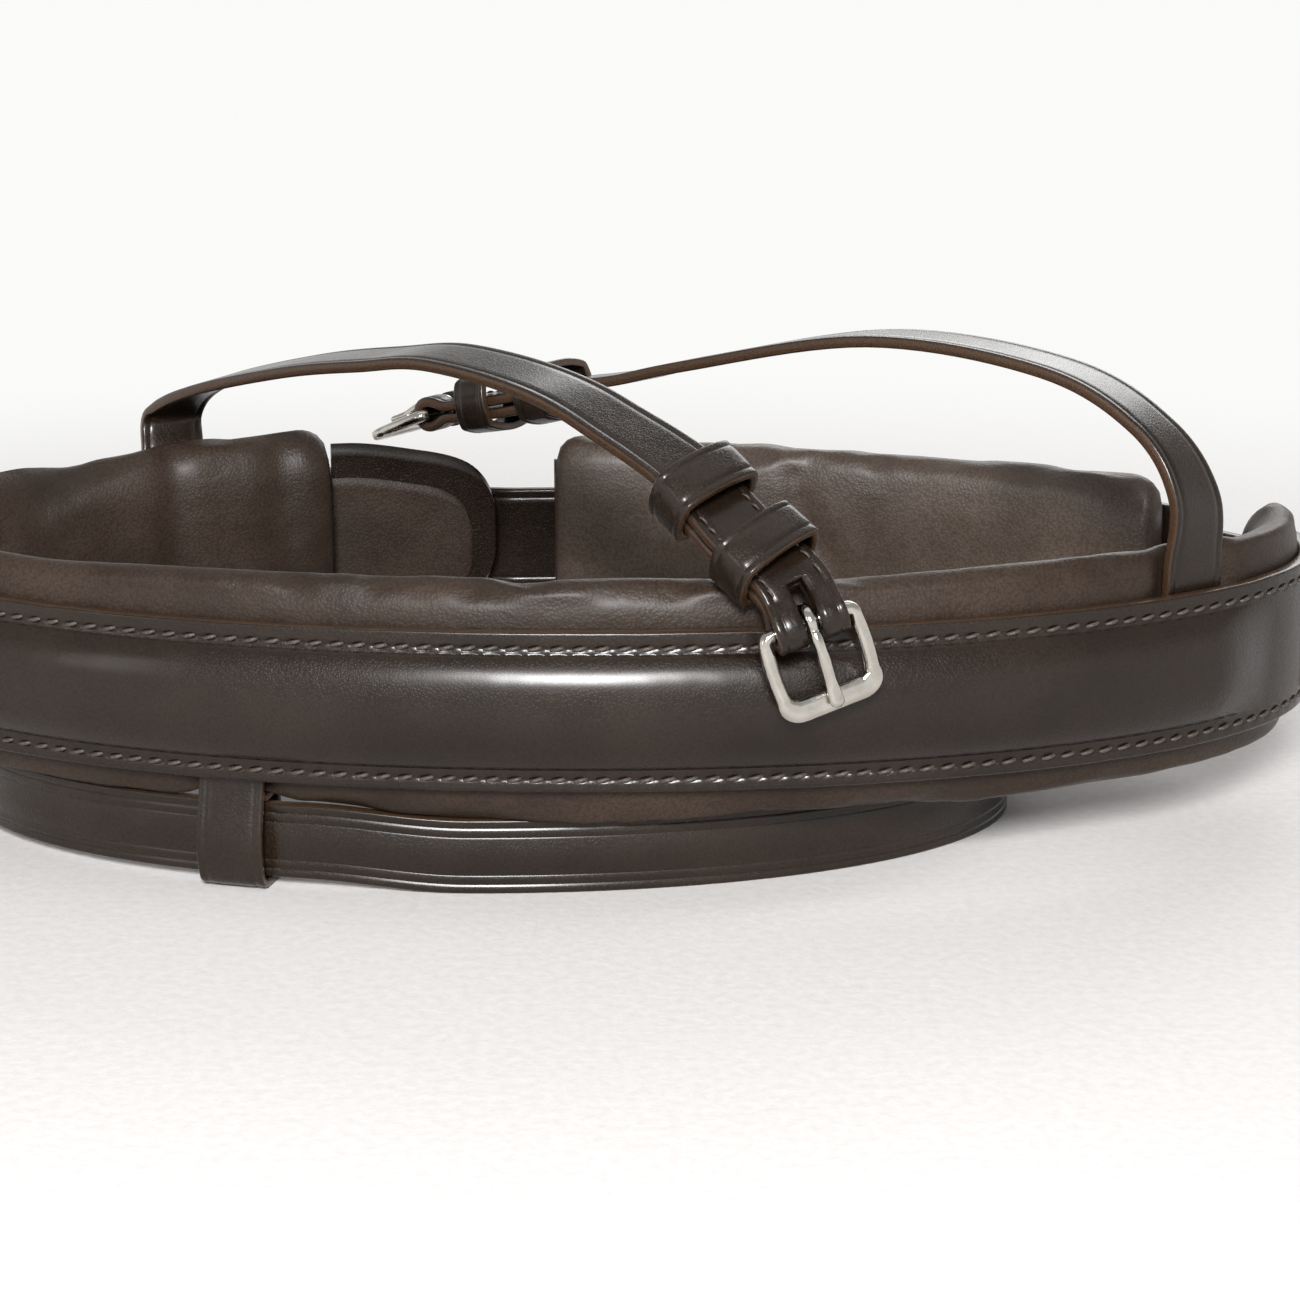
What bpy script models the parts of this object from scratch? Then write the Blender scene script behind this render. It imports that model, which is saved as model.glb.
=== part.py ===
"""Padded flash noseband of a bridle, lying on its lower edge as an oval ring.

Run with: blender --background --python part.py
Lengths below are real millimetres; meshes are written in metres, +Z up.
X runs along the ring, the front of the noseband faces -Y, and the surface it lies on is Z = 0.
"""
import math

import bmesh
import bpy
from mathutils import Vector

MM = 0.001
GAP = 0.3
# The middle of the whole box seen from above, which becomes the frame's origin
MIDDLE = (-13.912, 7.527, 0.0)

# The oval that the back of the nosepiece leather follows, seen from above
RING_CENTRE = (-13.5, 0.0)
RING_HALF = (158.5, 72.0)
RING_Z = 40.0
# The back of the ring lies this much higher than its front
BACK_RISE = 4.5
# The nosepiece's left end stands up a little more: by how much, round which angle, how far to each side
END_RISE = 3.4
END_RISE_AT = -238.6
END_RISE_FLAT = 10.0
END_RISE_FADE = 14.0
# The smaller oval that the flash strap follows under the nosepiece
FLASH_CENTRE = (-36.0, -4.0)
FLASH_HALF = (116.0, 62.0)

# Places round the ring, as angles of the oval: 0 at its +X tip, -90 at the front
LEFT_END = -245.4
LEFT_SLOT = -229.4
RIGHT_SLOT = -35.8
RIGHT_END = 6.0
PAD_START = 30.0
PAD_END = 93.8

# Nosepiece leather, its raised middle and its lining; the leather's middle is a little above the lining's
FACE_MIDDLE = 1.1
FACE_HALF = 16.65
FACE_THICK = 3.2
RAISE = 4.0
RAISE_FADE = (40.0, 62.0)
# Outline of the raised middle: height above the face's middle, share of the whole rise
BULGE = [(11.6, 0.0), (9.0, 0.66), (4.8, 1.0), (-4.8, 1.0), (-9.0, 0.66), (-11.6, 0.0)]
# The face's rim is cut off this far in and this far down
FACE_CORNER = (0.8, 0.7)
LINING_THICK = 1.4
LINING_SIDE = [(-0.3, 14.0), (-0.3, 18.8), (-1.2, 22.8), (-3.6, 25.4), (-6.4, 26.0), (-9.2, 24.2),
               (-11.4, 20.0), (-12.7, 10.0), (-12.9, 0.0), (-12.6, -10.0), (-11.2, -18.4),
               (-8.6, -22.4), (-5.6, -23.4), (-2.8, -21.6), (-0.9, -17.4), (-0.3, -12.6)]
# Chin pad, in the same way
PAD_Z = 43.0
PAD_HALF = 16.5
PAD_BACK_THICK = 2.4
# The chin pad's right end hangs this much lower than its left end
PAD_DROP = 3.0
PAD_SIDE = [(-0.1, 13.0), (-0.1, 17.4), (-1.2, 21.0), (-3.6, 23.2), (-6.4, 23.2), (-9.0, 20.6),
            (-10.6, 14.0), (-11.2, 5.0), (-11.2, -5.0), (-10.6, -14.0), (-8.6, -19.2),
            (-5.6, -20.8), (-2.6, -19.6), (-0.6, -16.4), (-0.1, -13.0)]
# The flash strap lies on the flash loop's floor, and the lining's underside is as much higher over it:
# rise of the lining, middle of the rise from the loop, how far it reaches flat and fading to each side
LOOP_RISE = 2.4
LOOP_RISE_SHIFT = -34.0
LOOP_RISE_FLAT = 48.0
LOOP_RISE_FADE = 34.0
# Points of the lining below this height take part in that rise, over this much height
UNDERSIDE = -13.0
UNDERSIDE_BLEND = 6.0

# Straps
HANGER_WIDTH = 15.0
HANGER_THICK = 2.6
# Heights above the middle of the face: the sewn root of a hanger, and where its strap starts to swing
ROOT_FROM = -11.0
ROOT_TO = 20.1
HINGE_HEIGHT = 22.0
# Lengths back from the buckle bar to the middle of the fixed keeper and of the runner
FIXED_KEEPER_BACK = 16.5
RUNNER_BACK = 35.5
# From the left end of the nosepiece to the hinge bar of the chin buckle, and the rise of a fastened frame
CHIN_BAR_REACH = 14.0
FRAME_RISE = 2.4
# The tab behind the chin buckle: length, half its width, middle above the ring's line, inner and outer face,
# and how square its tip is, where 2 is a half circle
TAB_LENGTH = 41.0
TAB_HALF = 19.5
TAB_MIDDLE = 2.5
TAB_FACES = (-3.4, -0.6)
TAB_SQUARE = 2.7
# The flash loop's place on the ring, and the flash buckle's on its own oval
LOOP_ANGLE = -117.3
# Outer face of the flash loop's front and back walls, from the back of the nosepiece leather
LOOP_FRONT = -1.2
LOOP_BACK = -9.6
FLASH_BUCKLE_ANGLE = 88.0
TONGUE_SLIT = (-1.9, 1.9)
TONGUE_HOLE = (-1.6, 1.6)
# Keepers and runners: length along the strap, leather, and room beside the strap in them
KEEPER_LENGTH = 9.5
KEEPER_THICK = 2.0
SMALL_KEEPER_LENGTH = 9.0
SMALL_KEEPER_THICK = 1.5
KEEPER_SIDE_ROOM = 0.4
# A hanger's keepers stand open by this much over the strap, arch by this much, and a runner is a little lower
KEEPER_ROOM = 3.0
KEEPER_ARCH = 1.0
RUNNER_LOWER = 0.6
# The doubled end of a hanger, back from its buckle bar: where it starts and how long it is
DOUBLE_FROM = 42.0
DOUBLE_LENGTH = 37.0
# Leather folded round a fastened buckle's bar, as a share of its strap's thickness
CHAPE_SHARE = 0.72
CHIN_WIDTH = 25.0
CHIN_THICK = 2.8
CHIN_Z = 39.0
FLASH_WIDTH = 16.0
FLASH_THICK = 3.0
LOOP_LENGTH = 14.0
LOOP_THICK = 1.8
# The flash buckle is wider than its strap, so the strap lies this much higher there
BUCKLE_LIFT = 3.4

# Buckles: radius of the bar and of the tongue, hinge bar to front bar, half the frame's width, and how far
# its front bar stands up
HANGER_BUCKLE = {"bar": 1.5, "pin": 1.15, "length": 16.2, "half": 9.6, "dip": 0.0}
CHIN_BUCKLE = {"bar": 1.4, "pin": 1.1, "length": 18.0}
FLASH_BUCKLE = {"bar": 1.2, "pin": 0.9, "length": 15.0}

LEATHER = (0.036, 0.027, 0.021)
LINING = (0.030, 0.022, 0.018)
FOAM = (0.35, 0.33, 0.28)
NICKEL = (0.62, 0.61, 0.58)


def clear_scene():
    for thing in list(bpy.data.objects):
        bpy.data.objects.remove(thing, do_unlink=True)


def material(name, colour, roughness, metallic):
    made = bpy.data.materials.new(name)
    made.use_nodes = True
    shader = made.node_tree.nodes["Principled BSDF"]
    shader.inputs["Base Color"].default_value = (*colour, 1.0)
    shader.inputs["Roughness"].default_value = roughness
    shader.inputs["Metallic"].default_value = metallic
    return made


class Route:
    """A line in space, read by the length along it, with a sideways direction."""

    def __init__(self, points, sides, closed=False, lift=None):
        self.points = [Vector(p) for p in points]
        self.sides = [Vector(v) for v in sides]
        self.closed = closed
        self.lift = lift
        if closed:
            self.points.append(self.points[0])
            self.sides.append(self.sides[0])
        self.lengths = [0.0]
        for a, b in zip(self.points, self.points[1:]):
            self.lengths.append(self.lengths[-1] + (b - a).length)
        self.total = self.lengths[-1]

    def read(self, s):
        """Point, direction and side at length s; an open line runs on straight past its ends."""
        extra = 0.0
        if self.closed:
            s = s % self.total
        else:
            extra = s - min(max(s, 0.0), self.total)
            s = s - extra
        low = 0
        high = len(self.lengths) - 1
        while high - low > 1:
            middle = (low + high) // 2
            if self.lengths[middle] <= s:
                low = middle
            else:
                high = middle
        part = (s - self.lengths[low]) / (self.lengths[high] - self.lengths[low])
        here = self.direction(low)
        there = self.direction(high)
        tangent = here.lerp(there, part).normalized()
        point = self.points[low].lerp(self.points[high], part) + tangent * extra
        side = self.sides[low].lerp(self.sides[high], part)
        side = (side - tangent * side.dot(tangent)).normalized()
        return point, tangent, side

    def direction(self, index):
        last = len(self.points) - 1
        if self.closed:
            before = self.points[index - 1 if index > 0 else last - 1]
            after = self.points[index + 1 if index < last else 1]
        else:
            before = self.points[max(index - 1, 0)]
            after = self.points[min(index + 1, last)]
        return (after - before).normalized()

    def place(self, s, n, w):
        """The point n outwards from the line and w along its side at length s."""
        point, tangent, side = self.read(s)
        height = self.lift(s) if self.lift else 0.0
        return point + tangent.cross(side) * n + side * (w + height)


def oval(centre, half, height, count=720, lift=None):
    points = []
    for i in range(count):
        angle = math.radians(-90.0 + 360.0 * i / count)
        x = centre[0] + half[0] * math.cos(angle)
        y = centre[1] + half[1] * math.sin(angle)
        points.append((x, y, height))
    return Route(points, [(0.0, 0.0, 1.0)] * count, closed=True, lift=lift)


def at_angle(route, degrees):
    """Length along an oval at an angle; angles below -90 give lengths below 0."""
    turns = (degrees + 90.0) / 360.0
    whole = math.floor(turns)
    step = (turns - whole) * (len(route.points) - 1)
    low = int(step)
    part = step - low
    length = route.lengths[low]
    if part > 0.0:
        length += part * (route.lengths[low + 1] - route.lengths[low])
    return whole * route.total + length


def smooth(points, steps=10):
    """Points of a smooth curve through the given ones."""
    given = [Vector(p) for p in points]
    ends = [given[0] * 2 - given[1]] + given + [given[-1] * 2 - given[-2]]
    out = []
    for i in range(1, len(ends) - 2):
        a, b, c, d = ends[i - 1:i + 3]
        for k in range(steps):
            t = k / steps
            out.append(0.5 * (2 * b + (c - a) * t + (2 * a - 5 * b + 4 * c - d) * t ** 2
                              + (3 * b - a - 3 * c + d) * t ** 3))
    out.append(given[-1])
    return out


def stations(route, start, end, turn=9.0, step=15.0):
    """Lengths from start to end, closer together where the line bends."""
    out = [start]
    sign = 1.0 if end > start else -1.0
    here = start
    while sign * (end - here) > 0.01:
        stride = step
        tangent = route.read(here)[1]
        while stride > 2.0 and math.degrees(tangent.angle(route.read(here + sign * stride)[1])) > turn:
            stride *= 0.85
        here += sign * stride
        if sign * (end - here) < stride * 0.4:
            here = end
        out.append(here)
    return out


def add_node(name, bm, look, origin=None, flat=35.0):
    bmesh.ops.recalc_face_normals(bm, faces=bm.faces)
    place = Vector(origin) if origin is not None else Vector((0.0, 0.0, 0.0))
    for vertex in bm.verts:
        vertex.co = (vertex.co - place) * MM
    mesh = bpy.data.meshes.new(name)
    bm.to_mesh(mesh)
    bm.free()
    mesh.shade_smooth()
    mesh.set_sharp_from_angle(angle=math.radians(flat))
    mesh.materials.append(look)
    thing = bpy.data.objects.new(name, mesh)
    thing.location = (place - Vector(MIDDLE)) * MM
    bpy.context.scene.collection.objects.link(thing)
    return thing


def sweep(sections, closed=False):
    """A closed mesh through equal sections; open sweeps get end caps."""
    bm = bmesh.new()
    rows = [[bm.verts.new(p) for p in section] for section in sections]
    count = len(rows[0])
    pairs = list(zip(rows, rows[1:]))
    if closed:
        pairs.append((rows[-1], rows[0]))
    for a, b in pairs:
        for i in range(count):
            j = (i + 1) % count
            bm.faces.new((a[i], a[j], b[j], b[i]))
    if not closed:
        bm.faces.new(rows[0])
        bm.faces.new(rows[-1])
    return bm


def swept_profile(route, lengths, profile):
    """Sweep an (n, w) profile, a list or a function of the length, along a route."""
    sections = []
    for s in lengths:
        shape = profile(s) if callable(profile) else profile
        sections.append([route.place(s, n, w) for n, w in shape])
    return sweep(sections)


def offset_line(line, distance):
    """An open (n, w) line moved to its left."""
    out = []
    for i, point in enumerate(line):
        before = Vector(line[max(i - 1, 0)])
        after = Vector(line[min(i + 1, len(line) - 1)])
        along = (after - before).normalized()
        out.append((point[0] - along.y * distance, point[1] + along.x * distance))
    return out


def strap(place, line, width, thick, corner=0.5):
    """A flat strap whose middle follows an (s, n) line; place turns (s, n, w) into a point."""
    sections = []
    half = width / 2
    for i, point in enumerate(line):
        before = Vector(line[max(i - 1, 0)])
        after = Vector(line[min(i + 1, len(line) - 1)])
        along = (after - before).normalized()
        across = Vector((-along.y, along.x))
        shape = [(-half, thick / 2), (half, thick / 2), (half, -thick / 2), (-half, -thick / 2)]
        if corner:
            inner = half - corner
            low = thick / 2 - corner
            shape = [(-half, low), (-inner, thick / 2), (inner, thick / 2), (half, low),
                     (half, -low), (inner, -thick / 2), (-inner, -thick / 2), (-half, -low)]
        ring = []
        for w, t in shape:
            spot = Vector(point) + across * t
            ring.append(place(spot.x, spot.y, w))
        sections.append(ring)
    return sweep(sections)


def tube(path, radius, sides=8, closed=True, squash=1.0):
    """A round bar along a path of points."""
    points = [Vector(p) for p in path]
    normal = (points[1] - points[0]).cross(points[len(points) // 2] - points[0])
    if normal.length < 1e-6:
        normal = (points[1] - points[0]).orthogonal()
    normal.normalize()
    sections = []
    last = len(points) - 1
    for i, point in enumerate(points):
        if closed:
            along = points[(i + 1) % len(points)] - points[i - 1]
        else:
            along = points[min(i + 1, last)] - points[max(i - 1, 0)]
        along.normalize()
        across = along.cross(normal).normalized()
        ring = []
        for k in range(sides):
            angle = math.tau * (k + 0.5) / sides
            ring.append(point + across * radius * math.cos(angle)
                        + normal * radius * squash * math.sin(angle))
        sections.append(ring)
    return sweep(sections, closed)


def cutter(name, bm):
    thing = add_node(name, bm, MATERIALS["leather"])
    thing.hide_render = True
    thing.display_type = "WIRE"
    return thing


def cut(thing, tool):
    boolean = thing.modifiers.new("cut_" + tool.name, "BOOLEAN")
    boolean.operation = "DIFFERENCE"
    boolean.solver = "EXACT"
    boolean.object = tool


def block(place, s_range, n_range, w_range, steps=4):
    """A box in strap coordinates, bent with its route."""
    sections = []
    for i in range(steps + 1):
        s = s_range[0] + (s_range[1] - s_range[0]) * i / steps
        sections.append([place(s, n_range[0], w_range[0]), place(s, n_range[1], w_range[0]),
                         place(s, n_range[1], w_range[1]), place(s, n_range[0], w_range[1])])
    return sweep(sections)


def keeper_loop(place, middle, length, low, high, half, thick, arch=0.0):
    """A leather loop round a strap: inside from low to high and half to each side."""
    radius = 1.6
    grow = thick / 2
    line = []
    corners = [(half, low, -90.0), (half, high, 0.0), (-half, high, 90.0), (-half, low, 180.0)]
    for w, n, start in corners:
        centre_w = w - math.copysign(radius - grow, w)
        centre_n = n + (radius - grow if n == low else -(radius - grow))
        for k in range(3):
            angle = math.radians(start + 45.0 * k)
            line.append((centre_w + radius * math.cos(angle), centre_n + radius * math.sin(angle)))
        if n == high and w > 0:
            for share in (0.5, 0.0, -0.5):
                line.append((share * half, high + grow + arch * (1.0 - share * share)))
    count = len(line)
    sections = []
    for i in range(count):
        before = Vector(line[i - 1])
        after = Vector(line[(i + 1) % count])
        along = (after - before).normalized()
        out = Vector((along.y, -along.x))
        spot = Vector(line[i])
        ring = []
        for s, t in ((-0.5, -0.5), (-0.5, 0.5), (0.5, 0.5), (0.5, -0.5)):
            corner = spot + out * thick * t
            ring.append(place(middle + s * length, corner.y, corner.x))
        sections.append(ring)
    return sweep(sections, closed=True)


def buckle_points(origin, along, side, length, half, dip=0.0, corner=3.2):
    """The middle line of a buckle frame: its hinge bar at the origin, its front bar a length away."""
    out = along.cross(side).normalized()
    corners = [(length, -half), (length, half), (0.0, half), (0.0, -half)]
    turns = [(180.0, 90.0), (90.0, 0.0), (0.0, -90.0), (-90.0, -180.0)]
    points = []
    for (u, w), (start, end) in zip(corners, turns):
        round_by = corner if u > 0 else corner * 0.55
        centre_u = u - round_by if u > 0 else u + round_by
        centre_w = w - math.copysign(round_by, w)
        for k in range(4):
            angle = math.radians(start + (end - start) * k / 3)
            point_u = centre_u + round_by * math.sin(angle)
            point_w = centre_w + round_by * math.cos(angle)
            rise = dip * (max(point_u, 0.0) / length) ** 2
            points.append(origin + along * point_u + side * point_w + out * rise)
        if u > 0 and w < 0 or u == 0.0 and w > 0:
            for share in (-0.45, 0.0, 0.45):
                shift = share if u > 0 else -share
                rise = dip if u > 0 else 0.0
                points.append(origin + along * u + side * shift * half * 1.1 + out * rise)
    return points


def tongue_bar(origin, along, side, length, lift, bar_radius, radius):
    """A buckle tongue: an eye round the hinge bar and a bar that lies on the front bar."""
    out = along.cross(side).normalized()
    eye = bar_radius + GAP + radius
    line = []
    for k in range(7):
        angle = math.radians(-60.0 - 40.0 * k)
        line.append((eye * math.cos(angle), eye * math.sin(angle)))
    line.append((eye * 0.75, eye * 1.0))
    for share in (0.35, 0.6, 0.85, 1.0):
        line.append((length * share, eye + (lift - eye) * share ** 2))
    path = [origin + along * u + out * n for u, n in line]
    return tube(path, radius, sides=8, closed=False)


def build_nosepiece(ring):
    left = at_angle(ring, LEFT_END)
    right = at_angle(ring, RIGHT_END)
    lengths = stations(ring, left, right)

    def raised(s):
        near = min(s - left, right - s)
        share = (near - RAISE_FADE[0]) / (RAISE_FADE[1] - RAISE_FADE[0])
        share = min(max(share, 0.0), 1.0)
        return RAISE * share * share * (3.0 - 2.0 * share)

    def face_profile(s):
        rise = raised(s)
        across, down = FACE_CORNER
        outer = [(FACE_THICK - down, FACE_HALF), (FACE_THICK, FACE_HALF - across)]
        outer += [(FACE_THICK + rise * share, w) for w, share in BULGE]
        outer += [(FACE_THICK, -FACE_HALF + across), (FACE_THICK - down, -FACE_HALF)]
        inner = [(rise * share, w) for w, share in reversed(BULGE)]
        whole = outer + [(0.0, -FACE_HALF)] + inner + [(0.0, FACE_HALF)]
        return [(n, w + FACE_MIDDLE) for n, w in whole]

    def filler_profile(s):
        rise = max(raised(s) - GAP, 0.6)
        outer = [(rise * share, w * 0.97) for w, share in BULGE[1:-1]]
        whole = [(0.0, BULGE[0][0] - 1.0)] + outer + [(0.0, 1.0 - BULGE[0][0])]
        return [(n, w + FACE_MIDDLE) for n, w in whole]

    add_node("nosepiece_face", swept_profile(ring, lengths, face_profile), MATERIALS["leather"])
    filler_lengths = [s for s in lengths if raised(s) > RAISE * 0.45]
    add_node("nosepiece_filler", swept_profile(ring, filler_lengths, filler_profile),
             MATERIALS["filler"])
    loop_at = at_angle(ring, LOOP_ANGLE)

    def side_line(s, inset):
        away = abs(s - loop_at - LOOP_RISE_SHIFT)
        share = min(max((LOOP_RISE_FLAT + LOOP_RISE_FADE - away) / LOOP_RISE_FADE, 0.0), 1.0)
        up = LOOP_RISE * share * share * (3.0 - 2.0 * share)
        line = [(n, w + up * min(max((UNDERSIDE - w) / UNDERSIDE_BLEND, 0.0), 1.0)) for n, w in LINING_SIDE]
        return offset_line(line, inset) if inset else line

    def lining_profile(s):
        return side_line(s, 0.0) + list(reversed(side_line(s, LINING_THICK)))

    def foam_profile(s):
        return [(-GAP - 0.1, 13.6)] + side_line(s, LINING_THICK + GAP) + [(-GAP - 0.1, -12.2)]

    lining = add_node("nosepiece_lining", swept_profile(ring, lengths, lining_profile),
                      MATERIALS["lining"])
    foam = add_node("nosepiece_foam", swept_profile(ring, lengths, foam_profile), MATERIALS["foam"])
    return lining, foam, left, right


def build_hanger(side_name, ring, slot_angle, route_points, sides, buckle, nosepiece):
    """One hanger: its sewn root, strap, keepers, runner, buckle frame and tongue."""
    lining, foam = nosepiece
    slot = at_angle(ring, slot_angle)
    n_mid = -GAP - HANGER_THICK / 2 - 0.5
    pocket_half = HANGER_WIDTH / 2 + 0.5
    pocket = cutter(side_name + "_pocket", block(ring.place, (slot - pocket_half, slot + pocket_half),
                                                 (-4.0, 1.0), (-12.0, 32.0)))
    cut(lining, pocket)
    cut(foam, pocket)
    root = Route([ring.place(slot, n_mid, w) for w in (ROOT_FROM, ROOT_TO)],
                 [ring.read(slot)[1], ring.read(slot)[1]])
    add_node(side_name + "_hanger_root",
             strap(root.place, [(0.0, 0.0), (16.0, 0.0), (root.total, 0.0)], HANGER_WIDTH, HANGER_THICK),
             MATERIALS["leather"])

    hinge = ring.place(slot, n_mid, HINGE_HEIGHT)
    points = smooth([hinge] + route_points)
    spread = [Vector(v) for v in sides]
    count = len(points) - 1
    all_sides = []
    for i in range(count + 1):
        share = i / count * (len(spread) - 1)
        low = min(int(share), len(spread) - 2)
        all_sides.append(spread[low].lerp(spread[low + 1], share - low).normalized())
    route = Route(points, all_sides)
    end = route.total
    half_n = HANGER_THICK / 2 + GAP
    eye = buckle["bar"] + GAP + HANGER_THICK / 2
    top = [(s, 0.0) for s in stations(route, 0.2, end - 58.0, step=12.0)]
    top += [(end - 50.0, half_n * 0.6)]
    double = [end - DOUBLE_FROM + DOUBLE_LENGTH * k / 10 for k in range(11)]
    top += [(s, half_n) for s in double]
    fold = [(end - 2.4, eye * 0.86), (end, eye)]
    fold += [(end + eye * math.sin(math.radians(a)), eye * math.cos(math.radians(a)))
             for a in (30, 60, 90, 120, 150, 180)]
    fold.append((end - 2.4, -eye * 0.86))
    back = [(s, -half_n) for s in reversed(double)]
    hanger = add_node(side_name + "_hanger_strap",
                      strap(route.place, top + fold + back, HANGER_WIDTH, HANGER_THICK),
                      MATERIALS["leather"], origin=hinge)
    slit = cutter(side_name + "_tongue_slit",
                  block(route.place, (end - 8.0, end + 7.0), (-6.0, 6.0), TONGUE_SLIT))
    cut(hanger, slit)

    low = -half_n - HANGER_THICK / 2 - GAP
    high = half_n + HANGER_THICK / 2 + KEEPER_ROOM
    half_w = HANGER_WIDTH / 2 + KEEPER_SIDE_ROOM
    add_node(side_name + "_fixed_keeper",
             keeper_loop(route.place, end - FIXED_KEEPER_BACK, KEEPER_LENGTH, low, high, half_w,
                         KEEPER_THICK, arch=KEEPER_ARCH),
             MATERIALS["leather"])
    add_node(side_name + "_runner",
             keeper_loop(route.place, end - RUNNER_BACK, KEEPER_LENGTH, low, high - RUNNER_LOWER, half_w,
                         KEEPER_THICK, arch=KEEPER_ARCH),
             MATERIALS["leather"], origin=route.place(end - RUNNER_BACK, 0.0, 0.0))

    origin = route.place(end, 0.0, 0.0)
    across = route.read(end)[2]
    along = Vector(buckle["along"])
    along = (along - across * along.dot(across)).normalized()
    frame = buckle_points(origin, along, across, buckle["length"], buckle["half"], buckle["dip"])
    add_node(side_name + "_buckle_frame", tube(frame, buckle["bar"], squash=1.0), MATERIALS["nickel"],
             origin=origin)
    lift = buckle["dip"] + buckle["bar"] + GAP + buckle["pin"]
    add_node(side_name + "_buckle_tongue",
             tongue_bar(origin, along, across, buckle["length"] + 1.2, lift, buckle["bar"], buckle["pin"]),
             MATERIALS["nickel"], origin=origin)
    return route, hinge, origin, across


def buckled(prefix, place, width, thick, size, base, own_chape, chape_reach):
    """A fastened buckle in strap coordinates: u grows from the hinge bar to the front bar.

    base is the height of the face it lies on. Returns the middle line of the strap that it holds, the bar's
    place and directions, the height of the bar and the top of the held strap.
    """
    bar = size["bar"]
    chape_thick = thick * CHAPE_SHARE
    eye = bar + GAP + chape_thick / 2
    low_layer = base + SMALL_KEEPER_THICK + 2 * GAP + chape_thick / 2
    high_layer = low_layer + chape_thick + GAP
    centre = (low_layer + high_layer) / 2
    reach = size["length"]
    if own_chape:
        laid = [-5.0 - (chape_reach - 5.0) * k / 6 for k in range(7)]
        line = [(u, low_layer) for u in reversed(laid)]
        line += [(eye * math.sin(math.radians(a)), centre - eye * math.cos(math.radians(a)))
                 for a in (-20, 20, 60, 90, 120, 160, 200)]
        line += [(u, high_layer) for u in laid]
        chape = add_node(prefix + "_chape", strap(place, line, width, chape_thick, corner=0.0),
                         MATERIALS["leather"])
        slit = cutter(prefix + "_chape_slit",
                      block(place, (-7.0, 7.0), (centre - 6.0, centre + 6.0), TONGUE_SLIT))
        cut(chape, slit)
    front = centre + FRAME_RISE
    over = centre + eye + chape_thick / 2 + GAP + thick / 2
    under = front - bar - GAP - thick / 2
    held = [(reach + 14.0, base + GAP + thick / 2), (reach + 4.0, under), (reach, under),
            (reach - 3.0, under + 0.3), (reach * 0.5, (over + under) / 2), (4.0, over - 0.4), (0.0, over),
            (-5.0, over), (-10.0, high_layer + chape_thick / 2 + GAP + thick / 2)]
    frame = []
    half = width / 2 + 0.6 + bar
    flat = buckle_points(Vector((0.0, 0.0, 0.0)), Vector((1.0, 0.0, 0.0)), Vector((0.0, 1.0, 0.0)),
                         reach, half, 0.0)
    for point in flat:
        rise = FRAME_RISE * max(point.x, 0.0) / reach
        frame.append(place(point.x, centre + rise, point.y))
    add_node(prefix + "_buckle_frame", tube(frame, bar), MATERIALS["nickel"])
    origin = place(0.0, centre, 0.0)
    along = (place(reach, front, 0.0) - origin).normalized()
    across = (place(0.0, centre, 1.0) - origin).normalized()
    return held, origin, along, across, centre, high_layer + chape_thick / 2 + GAP + thick


def finish_buckled(prefix, holder, place, width, size, data, keepers, hole_from):
    """The tongue, keepers and runner of a fastened buckle, and the hole in the held strap."""
    origin, along, across, centre = data[1:5]
    reach = size["length"]
    length = math.hypot(reach, FRAME_RISE) + 1.0
    lift = size["bar"] + GAP + size["pin"]
    out = along.cross(across).normalized()
    if out.dot(place(0.0, centre + 1.0, 0.0) - origin) < 0:
        across = -across
    add_node(prefix + "_buckle_tongue",
             tongue_bar(origin, along, across, length, lift, size["bar"], size["pin"]),
             MATERIALS["nickel"], origin=origin)
    hole = cutter(prefix + "_tongue_hole",
                  block(place, (hole_from, reach - 3.4), (centre - 1.0, centre + 14.0), TONGUE_HOLE))
    cut(holder, hole)
    for name, middle, low, high in keepers:
        add_node(prefix + "_" + name,
                 keeper_loop(place, middle, SMALL_KEEPER_LENGTH, low, high, width / 2 + KEEPER_SIDE_ROOM,
                             SMALL_KEEPER_THICK),
                 MATERIALS["leather"], origin=place(middle, (low + high) / 2, 0.0))


def rounded_tab(place, start, length, half, n_range, corner_start=0.6):
    """A tab with a round tip, as sections across its length."""
    sections = []
    radius = half
    for i in range(15):
        s = length * i / 14
        reach = s - (length - radius)
        width = half
        if reach > 0:
            width = half * max(1.0 - (reach / radius) ** TAB_SQUARE, 0.0004) ** (1.0 / TAB_SQUARE)
        ring = []
        for n, w in ((n_range[0] + corner_start, -width), (n_range[0], -width * 0.94),
                     (n_range[0], width * 0.94), (n_range[0] + corner_start, width),
                     (n_range[1], width), (n_range[1], -width)):
            ring.append(place(start + s, n, w))
        sections.append(ring)
    return sweep(sections)


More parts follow.
